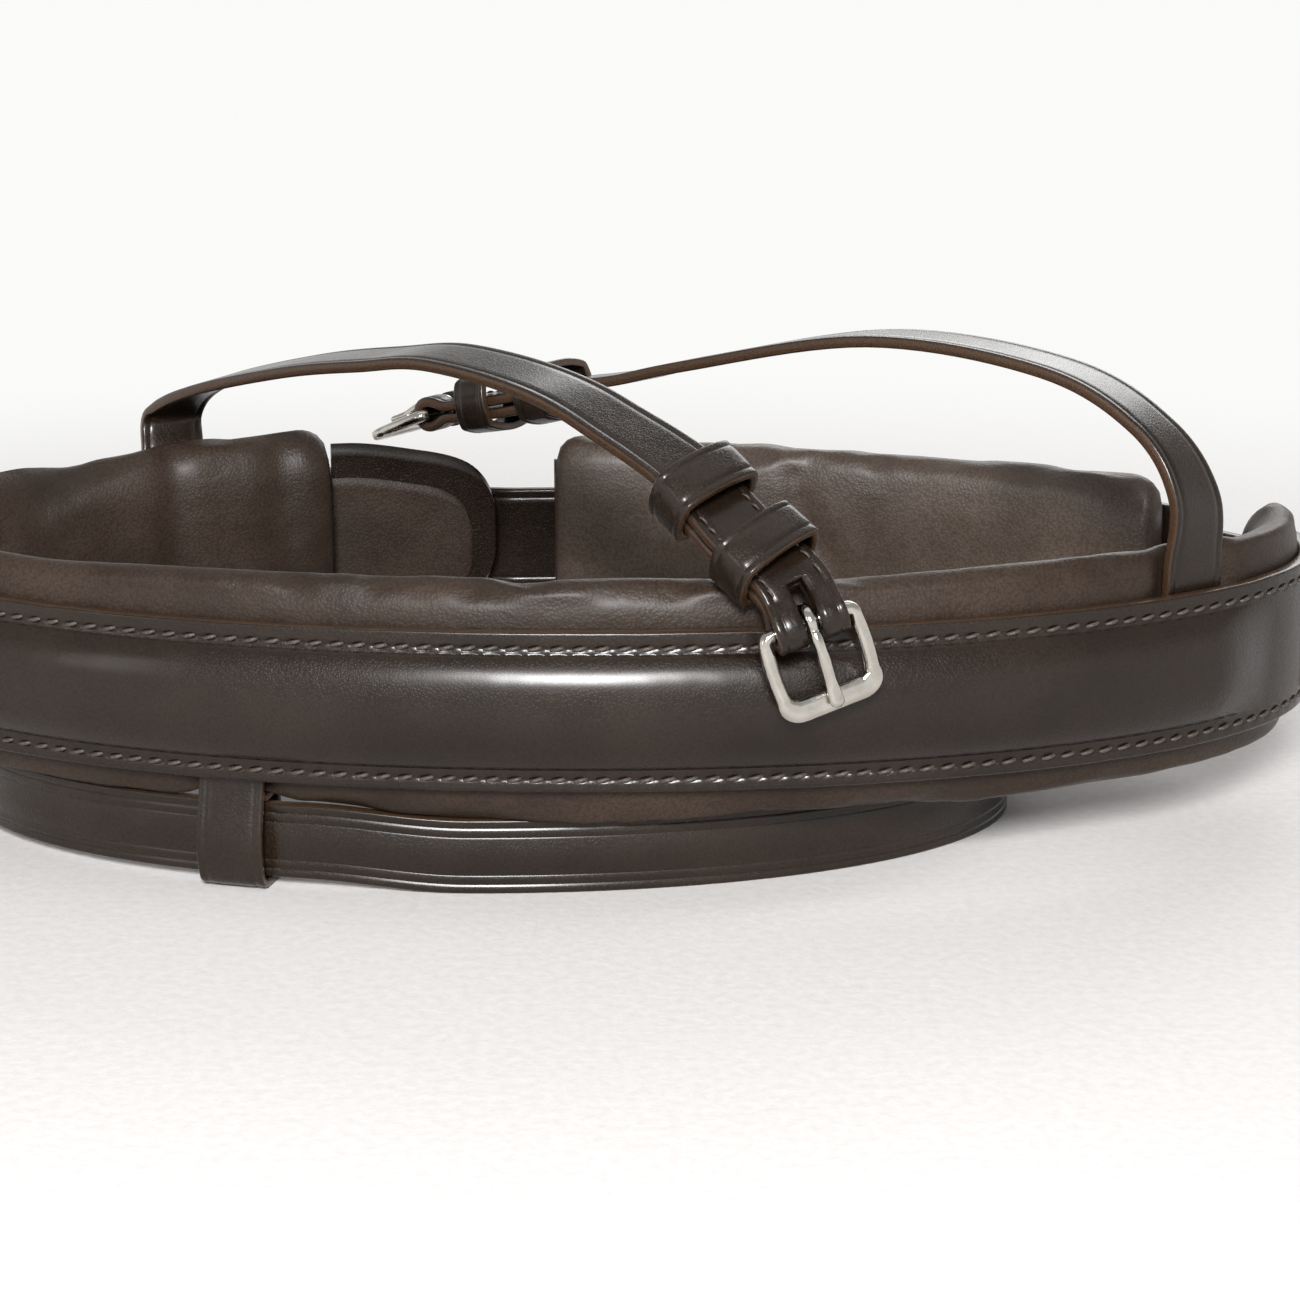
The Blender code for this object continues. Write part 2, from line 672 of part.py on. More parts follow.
def build_chin(ring, left, right):
    """Chin strap with its pad, buckled to the left end of the nosepiece."""
    size = CHIN_BUCKLE

    def place(u, n, w):
        return ring.place(left - CHIN_BAR_REACH - u, n, w + CHIN_Z - RING_Z)

    base = FACE_THICK
    data = buckled("chin", place, CHIN_WIDTH, CHIN_THICK, size, base, True, 46.0)
    pad_from = at_angle(ring, PAD_START)
    pad_to = at_angle(ring, PAD_END)
    flat = FACE_THICK + GAP + CHIN_THICK / 2
    around = left - CHIN_BAR_REACH + ring.total
    line = []
    for s in stations(ring, right - 18.0, around - size["length"] - 20.0):
        line.append((around - s, flat))
    line += data[0]
    over = data[5] - CHIN_THICK / 2
    line += [(-20.0, over), (-32.0, over), (-46.0, over), (-58.0, over)]
    strap_node = add_node("chin_strap", strap(place, line, CHIN_WIDTH, CHIN_THICK),
                          MATERIALS["leather"])
    low = base + GAP
    keepers = [("fixed_keeper", -15.0, low + 1.5, over + CHIN_THICK / 2 + GAP),
               ("runner", -34.0, low + 1.38, over + CHIN_THICK / 2 + GAP + 0.1)]
    finish_buckled("chin", strap_node, place, CHIN_WIDTH, size, data, keepers, 0.3)

    def pad_place(s, n, w):
        drop = PAD_DROP * (pad_to - s) / (pad_to - pad_from)
        return ring.place(s, n, w + PAD_Z - RING_Z - drop)

    pad_lengths = stations(ring, pad_from, pad_to)
    back = [(PAD_BACK_THICK + 0.2, PAD_HALF), (PAD_BACK_THICK + 0.2, -PAD_HALF),
            (0.2, -PAD_HALF), (0.2, PAD_HALF)]

    def sections(profile):
        return sweep([[pad_place(s, n, w) for n, w in profile] for s in pad_lengths])

    add_node("chin_pad_back", sections(back), MATERIALS["leather"])
    inner = offset_line(PAD_SIDE, LINING_THICK)
    add_node("chin_pad_lining", sections(PAD_SIDE + list(reversed(inner))), MATERIALS["lining"])
    foam = [(-GAP, 12.6)] + offset_line(PAD_SIDE, LINING_THICK + GAP) + [(-GAP, -12.6)]
    add_node("chin_pad_foam", sections(foam), MATERIALS["foam"])

    def tab_place(u, n, w):
        return ring.place(left - GAP - u, n, w + TAB_MIDDLE)

    add_node("chin_buckle_underlay",
             rounded_tab(tab_place, 0.0, TAB_LENGTH, TAB_HALF, TAB_FACES), MATERIALS["lining"])


def build_flash(ring, lining, foam):
    """Flash strap, buckled into a loop, and the leather loop that holds it to the nosepiece."""
    loop_at = at_angle(ring, LOOP_ANGLE)
    spot = ring.place(loop_at, -4.0, 0.0)
    level = oval(FLASH_CENTRE, FLASH_HALF, FLASH_WIDTH / 2)
    hinge_at = at_angle(level, FLASH_BUCKLE_ANGLE)
    nearest = min(range(len(level.points)), key=lambda i: (level.points[i].xy - spot.xy).length)
    middle = level.lengths[nearest]

    def bump(s, centre, flat, fade):
        away = (s - centre + level.total / 2) % level.total - level.total / 2
        share = min(max((flat + fade - abs(away)) / fade, 0.0), 1.0)
        return share * share * (3.0 - 2.0 * share)

    def lift(s):
        over_loop = (LOOP_THICK + 0.4) * bump(s, middle + LOOP_RISE_SHIFT, LOOP_RISE_FLAT, LOOP_RISE_FADE)
        over_buckle = BUCKLE_LIFT * bump(s, hinge_at - 12.0, 34.0, 30.0)
        return max(over_loop, over_buckle)

    flash = oval(FLASH_CENTRE, FLASH_HALF, FLASH_WIDTH / 2, lift=lift)
    size = FLASH_BUCKLE

    def place(u, n, w):
        return flash.place(hinge_at + u, n, w)

    base = -6.2
    data = buckled("flash", place, FLASH_WIDTH, FLASH_THICK, size, base, False, 40.0)
    centre = data[4]
    eye = size["bar"] + GAP + FLASH_THICK / 2
    main = centre + 0.5 * FLASH_THICK + 0.15
    tail = centre - 0.5 * FLASH_THICK - 0.15
    laid = [-5.0 - 7.0 * k for k in range(7)]
    line = [(u, tail) for u in reversed(laid[:-1])]
    line += [(eye * math.sin(math.radians(a)), centre - eye * math.cos(math.radians(a)))
             for a in (-20, 20, 60, 90, 120, 160, 200)]
    line += [(u, main) for u in laid]
    reach = size["length"]
    for s in stations(flash, -58.0 + hinge_at, hinge_at - flash.total + reach + 22.0, step=8.0):
        line.append((s - hinge_at, 0.0))
    front = centre + FRAME_RISE
    under = front - size["bar"] - GAP - FLASH_THICK / 2
    over = centre + eye + FLASH_THICK + GAP
    lap = flash.total
    shut = [(reach + 12.0, under * 0.5), (reach + 4.0, under), (reach, under), (reach - 2.5, under + 0.1),
            (reach * 0.5, (over + under) / 2), (4.0, over - 0.3), (0.0, over), (laid[0], over)]
    shut += [(u, main + FLASH_THICK + GAP) for u in laid[1:]]
    line += [(u - lap, n) for u, n in shut]
    strap_node = add_node("flash_strap", strap(place, line, FLASH_WIDTH, FLASH_THICK, corner=0.0),
                          MATERIALS["leather"])
    slit = cutter("flash_chape_slit",
                  block(place, (-7.0, 4.2), (centre - 4.4, centre + eye + FLASH_THICK / 2 + 0.1),
                        TONGUE_SLIT))
    cut(strap_node, slit)
    inside = tail - FLASH_THICK / 2 - GAP
    outside = main + 1.5 * FLASH_THICK + 2 * GAP
    keepers = [("fixed_keeper", -17.2, inside, outside), ("runner", -33.0, inside - 0.2, outside + 0.1)]
    finish_buckled("flash", strap_node, place, FLASH_WIDTH, size, data, keepers, 2.6)

    def loop_place(n, w, s):
        return ring.place(loop_at + s, n, w)

    floor = LOOP_THICK / 2 + 0.1 - RING_Z - ring.lift(loop_at)
    roof = floor + FLASH_WIDTH + LOOP_THICK + 2 * GAP
    near, far = LOOP_FRONT, LOOP_BACK
    line = [(near, -13.0), (near, -22.0), (near, floor + 1.2), (near - 0.35, floor + 0.35),
            (near - 1.2, floor), (far + 1.2, floor), (far + 0.35, floor + 0.35), (far, floor + 1.2),
            (far, roof - 1.2), (far + 0.35, roof - 0.35), (far + 1.2, roof),
            (near - LOOP_THICK / 2 - GAP, roof)]
    add_node("flash_loop", strap(loop_place, line, LOOP_LENGTH, LOOP_THICK, corner=0.4),
             MATERIALS["leather"])
    half = LOOP_LENGTH / 2 + 0.5
    pocket = cutter("flash_loop_pocket", block(ring.place, (loop_at - half, loop_at + half),
                                               (-2.8, 1.0), (-28.0, -12.0)))
    cut(lining, pocket)
    cut(foam, pocket)
    top = roof + LOOP_THICK / 2 + GAP
    shelf = cutter("flash_loop_shelf", block(ring.place, (loop_at - half, loop_at + half),
                                             (LOOP_BACK - 1.4, 1.1), (-28.2, top)))
    cut(lining, shelf)
    cut(foam, shelf)


def main():
    clear_scene()
    MATERIALS["leather"] = material("bridle_leather", LEATHER, 0.35, 0.0)
    MATERIALS["lining"] = material("soft_lining", LINING, 0.5, 0.0)
    MATERIALS["foam"] = material("foam", FOAM, 0.9, 0.0)
    MATERIALS["filler"] = material("filler", FOAM, 0.9, 0.0)
    MATERIALS["nickel"] = material("nickel", NICKEL, 0.15, 1.0)
    level = oval(RING_CENTRE, RING_HALF, RING_Z)

    end_at = at_angle(level, END_RISE_AT)
    flat = END_RISE_FLAT / 360.0 * level.total
    fade = END_RISE_FADE / 360.0 * level.total

    def rise(s):
        away = abs((s - end_at + level.total / 2) % level.total - level.total / 2)
        share = min(max((flat + fade - away) / fade, 0.0), 1.0)
        end_rise = END_RISE * share * share * (3.0 - 2.0 * share)
        return BACK_RISE * (0.5 + level.read(s)[0].y / (2 * RING_HALF[1])) + end_rise

    ring = oval(RING_CENTRE, RING_HALF, RING_Z, lift=rise)
    lining, foam, left, right = build_nosepiece(ring)
    left_sides = [ring.read(at_angle(ring, LEFT_SLOT))[1] * -1.0, (0.7, 0.71, 0.12), (0.7, 0.71, 0.14),
                  (0.77, 0.62, 0.14), (0.89, 0.4, 0.2), (0.96, 0.2, 0.2)]
    left_points = [(-115.6, 55.9, 79.0), (-105.4, 45.2, 87.0), (-80.0, 21.0, 95.7), (-60.0, 2.0, 100.3),
                   (-42.5, -13.5, 102.9), (-17.5, -37.0, 99.2), (4.0, -56.0, 88.0), (18.3, -68.5, 75.5),
                   (27.6, -76.0, 67.8), (31.0, -79.6, 61.0)]
    left_buckle = dict(HANGER_BUCKLE, along=(3.0, -1.2, -15.5))
    places = {"left": build_hanger("left", ring, LEFT_SLOT, left_points, left_sides, left_buckle,
                                   (lining, foam))}
    right_sides = [ring.read(at_angle(ring, RIGHT_SLOT))[1] * -1.0, (-0.61, -0.79, 0.0),
                   (-0.61, -0.79, 0.0), (-0.64, -0.77, 0.0), (-0.5, -0.86, 0.0)]
    right_points = [(113.6, -40.0, 78.0), (105.5, -33.0, 91.5), (87.0, -18.5, 101.6), (52.0, 7.5, 104.2),
                    (12.0, 37.0, 94.0), (-14.0, 57.0, 85.0), (-33.0, 71.0, 78.8), (-52.0, 84.0, 74.5)]
    right_buckle = dict(HANGER_BUCKLE, along=(-0.85, 0.4, -0.4))
    places["right"] = build_hanger("right", ring, RIGHT_SLOT, right_points, right_sides, right_buckle,
                                   (lining, foam))
    build_chin(ring, left, right)
    build_flash(ring, lining, foam)
    for name, (route, hinge, bar, across) in places.items():
        print(name, "hanger: length", round(route.total, 2), "hinge", hinge, "bar", bar, "along it", across)


MATERIALS = {}

main()
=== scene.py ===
"""Looks of the padded flash noseband: leather, lining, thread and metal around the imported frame.

Lengths in this file are millimetres, as in the part's own source, and meshes are written in metres.
"""
import math

import bmesh
import bpy
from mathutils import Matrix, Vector, noise


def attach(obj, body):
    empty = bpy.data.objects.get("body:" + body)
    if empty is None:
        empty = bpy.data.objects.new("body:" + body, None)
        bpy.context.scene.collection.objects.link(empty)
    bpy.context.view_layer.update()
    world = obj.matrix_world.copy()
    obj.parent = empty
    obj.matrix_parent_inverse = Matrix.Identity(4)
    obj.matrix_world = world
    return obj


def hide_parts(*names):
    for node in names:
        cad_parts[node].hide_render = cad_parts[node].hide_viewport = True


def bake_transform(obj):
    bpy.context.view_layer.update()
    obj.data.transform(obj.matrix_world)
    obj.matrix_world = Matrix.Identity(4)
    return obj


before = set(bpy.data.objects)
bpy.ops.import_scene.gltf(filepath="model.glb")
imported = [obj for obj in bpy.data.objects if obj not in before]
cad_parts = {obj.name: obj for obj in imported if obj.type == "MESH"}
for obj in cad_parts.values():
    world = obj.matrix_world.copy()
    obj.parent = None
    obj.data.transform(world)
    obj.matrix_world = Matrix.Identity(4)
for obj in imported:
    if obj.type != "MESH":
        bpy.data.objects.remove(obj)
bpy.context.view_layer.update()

MM = 0.001
GAP = 0.3
# The middle of the whole box seen from above, which is the frame's origin
MIDDLE = Vector((-13.912, 7.527, 0.0))

# The same ovals, places and sizes as in the part's source
RING_CENTRE = (-13.5, 0.0)
RING_HALF = (158.5, 72.0)
RING_Z = 40.0
BACK_RISE = 4.5
END_RISE = 3.4
END_RISE_AT = -238.6
END_RISE_FLAT = 10.0
END_RISE_FADE = 14.0
FLASH_CENTRE = (-36.0, -4.0)
FLASH_HALF = (116.0, 62.0)
LEFT_END = -245.4
LEFT_SLOT = -229.4
RIGHT_SLOT = -35.8
RIGHT_END = 6.0
PAD_START = 30.0
PAD_END = 93.8
LOOP_ANGLE = -117.3
LOOP_FRONT = -1.2
LOOP_BACK = -9.6
FLASH_BUCKLE_ANGLE = 88.0
FACE_MIDDLE = 1.1
FACE_HALF = 16.65
FACE_THICK = 3.2
RAISE = 4.0
RAISE_FADE = (40.0, 62.0)
LINING_SIDE = [(-0.3, 14.0), (-0.3, 18.8), (-1.2, 22.8), (-3.6, 25.4), (-6.4, 26.0), (-9.2, 24.2),
               (-11.4, 20.0), (-12.7, 10.0), (-12.9, 0.0), (-12.6, -10.0), (-11.2, -18.4),
               (-8.6, -22.4), (-5.6, -23.4), (-2.8, -21.6), (-0.9, -17.4), (-0.3, -12.6)]
PAD_Z = 43.0
PAD_HALF = 16.5
PAD_BACK_THICK = 2.4
LOOP_RISE = 2.4
LOOP_RISE_SHIFT = -34.0
LOOP_RISE_FLAT = 48.0
LOOP_RISE_FADE = 34.0
TAB_SQUARE = 2.7
TAB_LENGTH = 41.0
TAB_HALF = 19.5
TAB_MIDDLE = 2.5
FIXED_KEEPER_BACK = 16.5
RUNNER_BACK = 35.5
PAD_DROP = 3.0
PAD_SIDE = [(-0.1, 13.0), (-0.1, 17.4), (-1.2, 21.0), (-3.6, 23.2), (-6.4, 23.2), (-9.0, 20.6),
            (-10.6, 14.0), (-11.2, 5.0), (-11.2, -5.0), (-10.6, -14.0), (-8.6, -19.2),
            (-5.6, -20.8), (-2.6, -19.6), (-0.6, -16.4), (-0.1, -13.0)]
HANGER_WIDTH = 15.0
HANGER_THICK = 2.6
CHIN_WIDTH = 25.0
CHIN_THICK = 2.8
CHIN_Z = 39.0
FLASH_WIDTH = 16.0
FLASH_THICK = 3.0
LOOP_LENGTH = 14.0
LOOP_THICK = 1.8
BUCKLE_LIFT = 3.4
HINGE_HEIGHT = 22.0
HANGER_BUCKLE = {"bar": 1.5, "pin": 1.15, "length": 16.2, "half": 9.6}
CHIN_BUCKLE = {"bar": 1.4, "pin": 1.1, "length": 18.0}
FLASH_BUCKLE = {"bar": 1.2, "pin": 0.9, "length": 15.0}
CHAPE_SHARE = 0.72
KEEPER_SIDE_ROOM = 0.4
KEEPER_ROOM = 3.0
RUNNER_LOWER = 0.6
DOUBLE_FROM = 42.0
DOUBLE_LENGTH = 37.0

# Values named in this file only
KEEPER = {"length": 9.5, "thick": 2.0, "arch": 1.0}
SMALL_KEEPER = {"length": 9.0, "thick": 1.5, "arch": 0.0}
# Along the fastened straps from their buckle bars: the fixed keeper, then the runner
CHIN_KEEPERS_AT = (-15.0, -34.0)
FLASH_KEEPERS_AT = (-17.2, -33.0)
# The chin buckle's bar is this far behind the nosepiece's end, and its chape's layers are this long
CHIN_REACH = 14.0
CHAPE_REACH = 41.0
# The front bar of an open frame is wider, and a fastened frame's front is this much higher than its hinge bar
FRONT_BAR = 2.3
FRONT_RISE = 2.4
# Points of a hanger's sewn root below its hinge
ROOT_HEIGHTS = (-11.0, 0.0, 11.0, 18.0)
# Back from a hanger's buckle bar: where its single layer ends, and half way up to the doubled part
SINGLE_FROM = 62.0
HALF_WAY_FROM = 50.0
# The chin strap's other end reaches this far under the nosepiece's right end
CHIN_UNDER = 18.0
# The flash buckle's innermost layer, from the flash strap's own line
FLASH_BASE = -6.2
# Inner and outer face of the tab's backing, and of its panel, from the ring's line; how much shorter and
# narrower the panel is, and how much lower its middle
BACKING_FACES = (-2.7, -0.65)
PANEL_FACES = (-3.6, -2.5)
PANEL_SHORTER = 6.0
PANEL_NARROWER = 5.0
PANEL_LOWER = 3.5
# The flash loop's front, from the seam down: how far out from LOOP_FRONT, and height
LOOP_SWELL = [(0.0, -13.0), (0.3, -17.0), (1.5, -22.0), (2.9, -28.0), (3.1, -33.0)]
# Half the width of the slit for a tongue in a folded end, and of the hole that a tongue passes
SLIT_HALF = 1.9
HOLE_HALF = 1.6

# Camera of the photograph
CAMERA_PLACE = (0.0, -593.0, 193.0)
CAMERA_TILT = 75.0
CAMERA_LENS = 74.8

# Sewing
STITCH_PITCH = 4.4
UPPER_STITCH_IN = 3.4
LOWER_STITCH_IN = 2.6
PAD_STITCH_IN = 3.1
THREAD_RADIUS = 0.42
STITCH_LEAN = 0.42
HANGER_STITCH_IN = 1.9
HANGER_STITCHES = (30.5, 6.2)
HANGER_PITCH = 3.0
HANGER_THREAD = 0.27
# From a strap's crease line to the second one
CREASE_STEP = 2.0


class Route:
    """A line in space, read by the length along it, with a sideways direction."""

    def __init__(self, points, sides, closed=False, lift=None):
        self.points = [Vector(p) for p in points]
        self.sides = [Vector(v) for v in sides]
        self.closed = closed
        self.lift = lift
        if closed:
            self.points.append(self.points[0])
            self.sides.append(self.sides[0])
        self.lengths = [0.0]
        for a, b in zip(self.points, self.points[1:]):
            self.lengths.append(self.lengths[-1] + (b - a).length)
        self.total = self.lengths[-1]

    def direction(self, index):
        last = len(self.points) - 1
        if self.closed:
            before = self.points[index - 1 if index > 0 else last - 1]
            after = self.points[index + 1 if index < last else 1]
        else:
            before = self.points[max(index - 1, 0)]
            after = self.points[min(index + 1, last)]
        return (after - before).normalized()

    def read(self, s):
        """Point, direction and side at length s; an open line runs on straight past its ends."""
        extra = 0.0
        if self.closed:
            s = s % self.total
        else:
            extra = s - min(max(s, 0.0), self.total)
            s = s - extra
        low = 0
        high = len(self.lengths) - 1
        while high - low > 1:
            middle = (low + high) // 2
            if self.lengths[middle] <= s:
                low = middle
            else:
                high = middle
        part = (s - self.lengths[low]) / (self.lengths[high] - self.lengths[low])
        tangent = self.direction(low).lerp(self.direction(high), part).normalized()
        point = self.points[low].lerp(self.points[high], part) + tangent * extra
        side = self.sides[low].lerp(self.sides[high], part)
        side = (side - tangent * side.dot(tangent)).normalized()
        return point, tangent, side

    def place(self, s, n, w):
        """The point n outwards from the line and w along its side at length s."""
        point, tangent, side = self.read(s)
        height = self.lift(s) if self.lift else 0.0
        return point + tangent.cross(side) * n + side * (w + height)


def oval(centre, half, height, lift=None):
    points = []
    for i in range(720):
        angle = math.radians(-90.0 + i / 2)
        points.append((centre[0] + half[0] * math.cos(angle), centre[1] + half[1] * math.sin(angle), height))
    return Route(points, [(0.0, 0.0, 1.0)] * 720, closed=True, lift=lift)


def at_angle(route, degrees):
    """Length along an oval at an angle; angles below -90 give lengths below 0."""
    turns = (degrees + 90.0) / 360.0
    whole = math.floor(turns)
    step = (turns - whole) * (len(route.points) - 1)
    low = int(step)
    length = route.lengths[low]
    if step > low:
        length += (step - low) * (route.lengths[low + 1] - route.lengths[low])
    return whole * route.total + length


def smooth(points, steps=10):
    """Points of a smooth curve through the given ones."""
    given = [Vector(p) for p in points]
    ends = [given[0] * 2 - given[1]] + given + [given[-1] * 2 - given[-2]]
    out = []
    for i in range(1, len(ends) - 2):
        a, b, c, d = ends[i - 1:i + 3]
        for k in range(steps):
            t = k / steps
            out.append(0.5 * (2 * b + (c - a) * t + (2 * a - 5 * b + 4 * c - d) * t ** 2
                              + (3 * b - a - 3 * c + d) * t ** 3))
    out.append(given[-1])
    return out


def refine(line, step=1.2, closed=False, like=None):
    """A finer line through the given points; uneven spacing does not make it swing out.

    like is another line of as many points, which sets how many parts each stretch is divided into.
    """
    points = [Vector(p) for p in line]
    pattern = [Vector(p) for p in like or line]
    count = len(points)

    def chord(i, of=points):
        return max((of[(i + 1) % count] - of[i % count]).length, 1e-6)

    def slope(i):
        if not closed and i == 0:
            return (points[1] - points[0]) / chord(0)
        if not closed and i == count - 1:
            return (points[-1] - points[-2]) / chord(count - 2)
        before, after = chord(i - 1), chord(i)
        rise_before = (points[i % count] - points[i - 1]) / before
        rise_after = (points[(i + 1) % count] - points[i % count]) / after
        return (rise_after * before + rise_before * after) / (before + after)

    out = []
    for i in range(count if closed else count - 1):
        length = chord(i)
        a, b = points[i], points[(i + 1) % count]
        slope_a, slope_b = slope(i), slope((i + 1) % count)
        parts = max(2, math.ceil(chord(i, pattern) / step))
        for k in range(parts):
            t = k / parts
            out.append(a * (2 * t ** 3 - 3 * t ** 2 + 1) + slope_a * length * (t ** 3 - 2 * t ** 2 + t)
                       + b * (3 * t ** 2 - 2 * t ** 3) + slope_b * length * (t ** 3 - t ** 2))
    if not closed:
        out.append(points[-1])
    return out


def hump(distance, flat, fade):
    """1 within flat of the middle, falling smoothly to 0 over fade."""
    share = min(max((flat + fade - abs(distance)) / fade, 0.0), 1.0)
    return share * share * (3.0 - 2.0 * share)


def spread(start, end, step):
    """Even places from start to end, about step apart."""
    count = max(2, round(abs(end - start) / step))
    return [start + (end - start) * i / count for i in range(count + 1)]


def write_mesh(name, rings, marks=None, look="leather", body="noseband", closed=False, flat=50.0):
    """A closed mesh through equal rings of points in mm, riding on a body.

    marks gives each point's share of raw edge, which the leather material reads.
    """
    bm = bmesh.new()
    edge_layer = bm.verts.layers.float.new("raw_edge")
    rows = []
    for ring_index, ring in enumerate(rings):
        row = []
        for k, point in enumerate(ring):
            vertex = bm.verts.new((Vector(point) - MIDDLE) * MM)
            vertex[edge_layer] = marks[ring_index][k] if marks else 0.0
            row.append(vertex)
        rows.append(row)
    pairs = list(zip(rows, rows[1:]))
    if closed:
        pairs.append((rows[-1], rows[0]))
    count = len(rows[0])
    for a, b in pairs:
        for i in range(count):
            j = (i + 1) % count
            bm.faces.new((a[i], a[j], b[j], b[i]))
    if not closed:
        bm.faces.new(rows[0])
        bm.faces.new(rows[-1])
    bmesh.ops.recalc_face_normals(bm, faces=bm.faces)
    return write_bmesh(name, bm, look, body, flat)


def write_bmesh(name, bm, look, body, flat):
    mesh = bpy.data.meshes.new(name)
    bm.to_mesh(mesh)
    bm.free()
    mesh.shade_smooth()
    mesh.set_sharp_from_angle(angle=math.radians(flat))
    mesh.materials.append(LOOKS[look])
    thing = bpy.data.objects.new(name, mesh)
    bpy.context.scene.collection.objects.link(thing)
    if body:
        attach(thing, body)
    return thing


def apply_modifiers(thing):
    """The mesh as its modifiers leave it."""
    bpy.context.view_layer.update()
    graph = bpy.context.evaluated_depsgraph_get()
    made = bpy.data.meshes.new_from_object(thing.evaluated_get(graph), depsgraph=graph)
    old = thing.data
    thing.modifiers.clear()
    thing.data = made
    bpy.data.meshes.remove(old)


def carve(thing, place, s_range, n_range, half):
    """Cut a bent block out of a piece, in strap coordinates; half is the block's half width."""
    low, high = n_range
    rings = [[place(s, n, w) for n, w in ((low, -half), (high, -half), (high, half), (low, half))]
             for s in spread(*s_range, 1.5)]
    tool = write_mesh(thing.name + "_tool", rings, [[1.0] * 4] * len(rings), body=None)
    boolean = thing.modifiers.new("carve", "BOOLEAN")
    boolean.operation = "DIFFERENCE"
    boolean.solver = "EXACT"
    boolean.object = tool
    apply_modifiers(thing)
    bpy.data.objects.remove(tool, do_unlink=True)


class Nodes:
    """Short calls to lay out a material's nodes."""

    def __init__(self, name):
        self.material = bpy.data.materials.new(name)
        self.material.use_nodes = True
        self.tree = self.material.node_tree
        self.shader = self.tree.nodes["Principled BSDF"]
        self.place = self.add("ShaderNodeTexCoord").outputs["Object"]

    def add(self, kind, **settings):
        node = self.tree.nodes.new(kind)
        for key, value in settings.items():
            if hasattr(node, key):
                setattr(node, key, value)
            else:
                node.inputs[key.replace("_", " ")].default_value = value
        return node

    def link(self, source, target):
        self.tree.links.new(source, target)

    def noise(self, scale, detail=2.0, rough=0.5, distortion=0.0):
        node = self.add("ShaderNodeTexNoise", Scale=scale, Detail=detail, Roughness=rough,
                        Distortion=distortion)
        self.link(self.place, node.inputs["Vector"])
        return node.outputs["Fac"]

    def cells(self, scale):
        node = self.add("ShaderNodeTexVoronoi", feature="F1", Scale=scale)
        self.link(self.place, node.inputs["Vector"])
        return node.outputs["Distance"]

    def ramp(self, source, low, high, from_low=0.0, from_high=1.0):
        node = self.add("ShaderNodeMapRange")
        self.link(source, node.inputs["Value"])
        for key, value in (("From Min", from_low), ("From Max", from_high), ("To Min", low),
                           ("To Max", high)):
            node.inputs[key].default_value = value
        return node.outputs["Result"]

    def math(self, operation, a, b):
        node = self.add("ShaderNodeMath", operation=operation)
        self.link(a, node.inputs[0])
        self.link(b, node.inputs[1])
        return node.outputs[0]

    def mix(self, factor, a, b):
        node = self.add("ShaderNodeMix", data_type="RGBA")
        self.link(factor, node.inputs[0])
        for index, value in ((6, a), (7, b)):
            if isinstance(value, tuple):
                node.inputs[index].default_value = (*value, 1.0)
            else:
                self.link(value, node.inputs[index])
        return node.outputs[2]

    def bump(self, height, distance, strength=1.0, after=None):
        node = self.add("ShaderNodeBump", Strength=strength, Distance=distance)
        self.link(height, node.inputs["Height"])
        if after is not None:
            self.link(after, node.inputs["Normal"])
        return node.outputs["Normal"]

    def finish(self, colour, roughness, normal, **values):
        for source, socket in ((colour, "Base Color"), (roughness, "Roughness"), (normal, "Normal")):
            self.link(source, self.shader.inputs[socket])
        for key, value in values.items():
            self.shader.inputs[key.replace("_", " ")].default_value = value
        return self.material


COAT_ROUGHNESS = 0.23
# Colours, as linear shares of red, green and blue
LEATHER_DARK = (0.0110, 0.0064, 0.0037)
LEATHER_LIGHT = (0.0210, 0.0125, 0.0073)
LINING_DARK = (0.0235, 0.0142, 0.0095)
LINING_LIGHT = (0.0450, 0.0290, 0.0202)
# The chin pad's lining is the same leather as the lining, painted lighter: painted light standing in for the
# light on the back wall where the pad stands
PAD_LINING_LIT_DARK = (0.0480, 0.0325, 0.0235)
PAD_LINING_LIT_LIGHT = (0.0920, 0.0660, 0.0500)
RAW_DARK = (0.026, 0.0135, 0.0075)
RAW_LIGHT = (0.085, 0.045, 0.024)
THREAD_DARK = (0.028, 0.020, 0.016)
THREAD_LIGHT = (0.090, 0.072, 0.060)
NICKEL_LIGHT = (0.60, 0.575, 0.525)
NICKEL_DARK = (0.47, 0.44, 0.39)
FLOOR_DARK = (0.73, 0.705, 0.695)
FLOOR_LIGHT = (0.81, 0.785, 0.775)
BACKDROP = (0.96, 0.958, 0.95)
# From the middle of the floor, in metres: where it starts to fade into the backdrop, and where it ends
FLOOR_FADE = (0.14, 0.62)


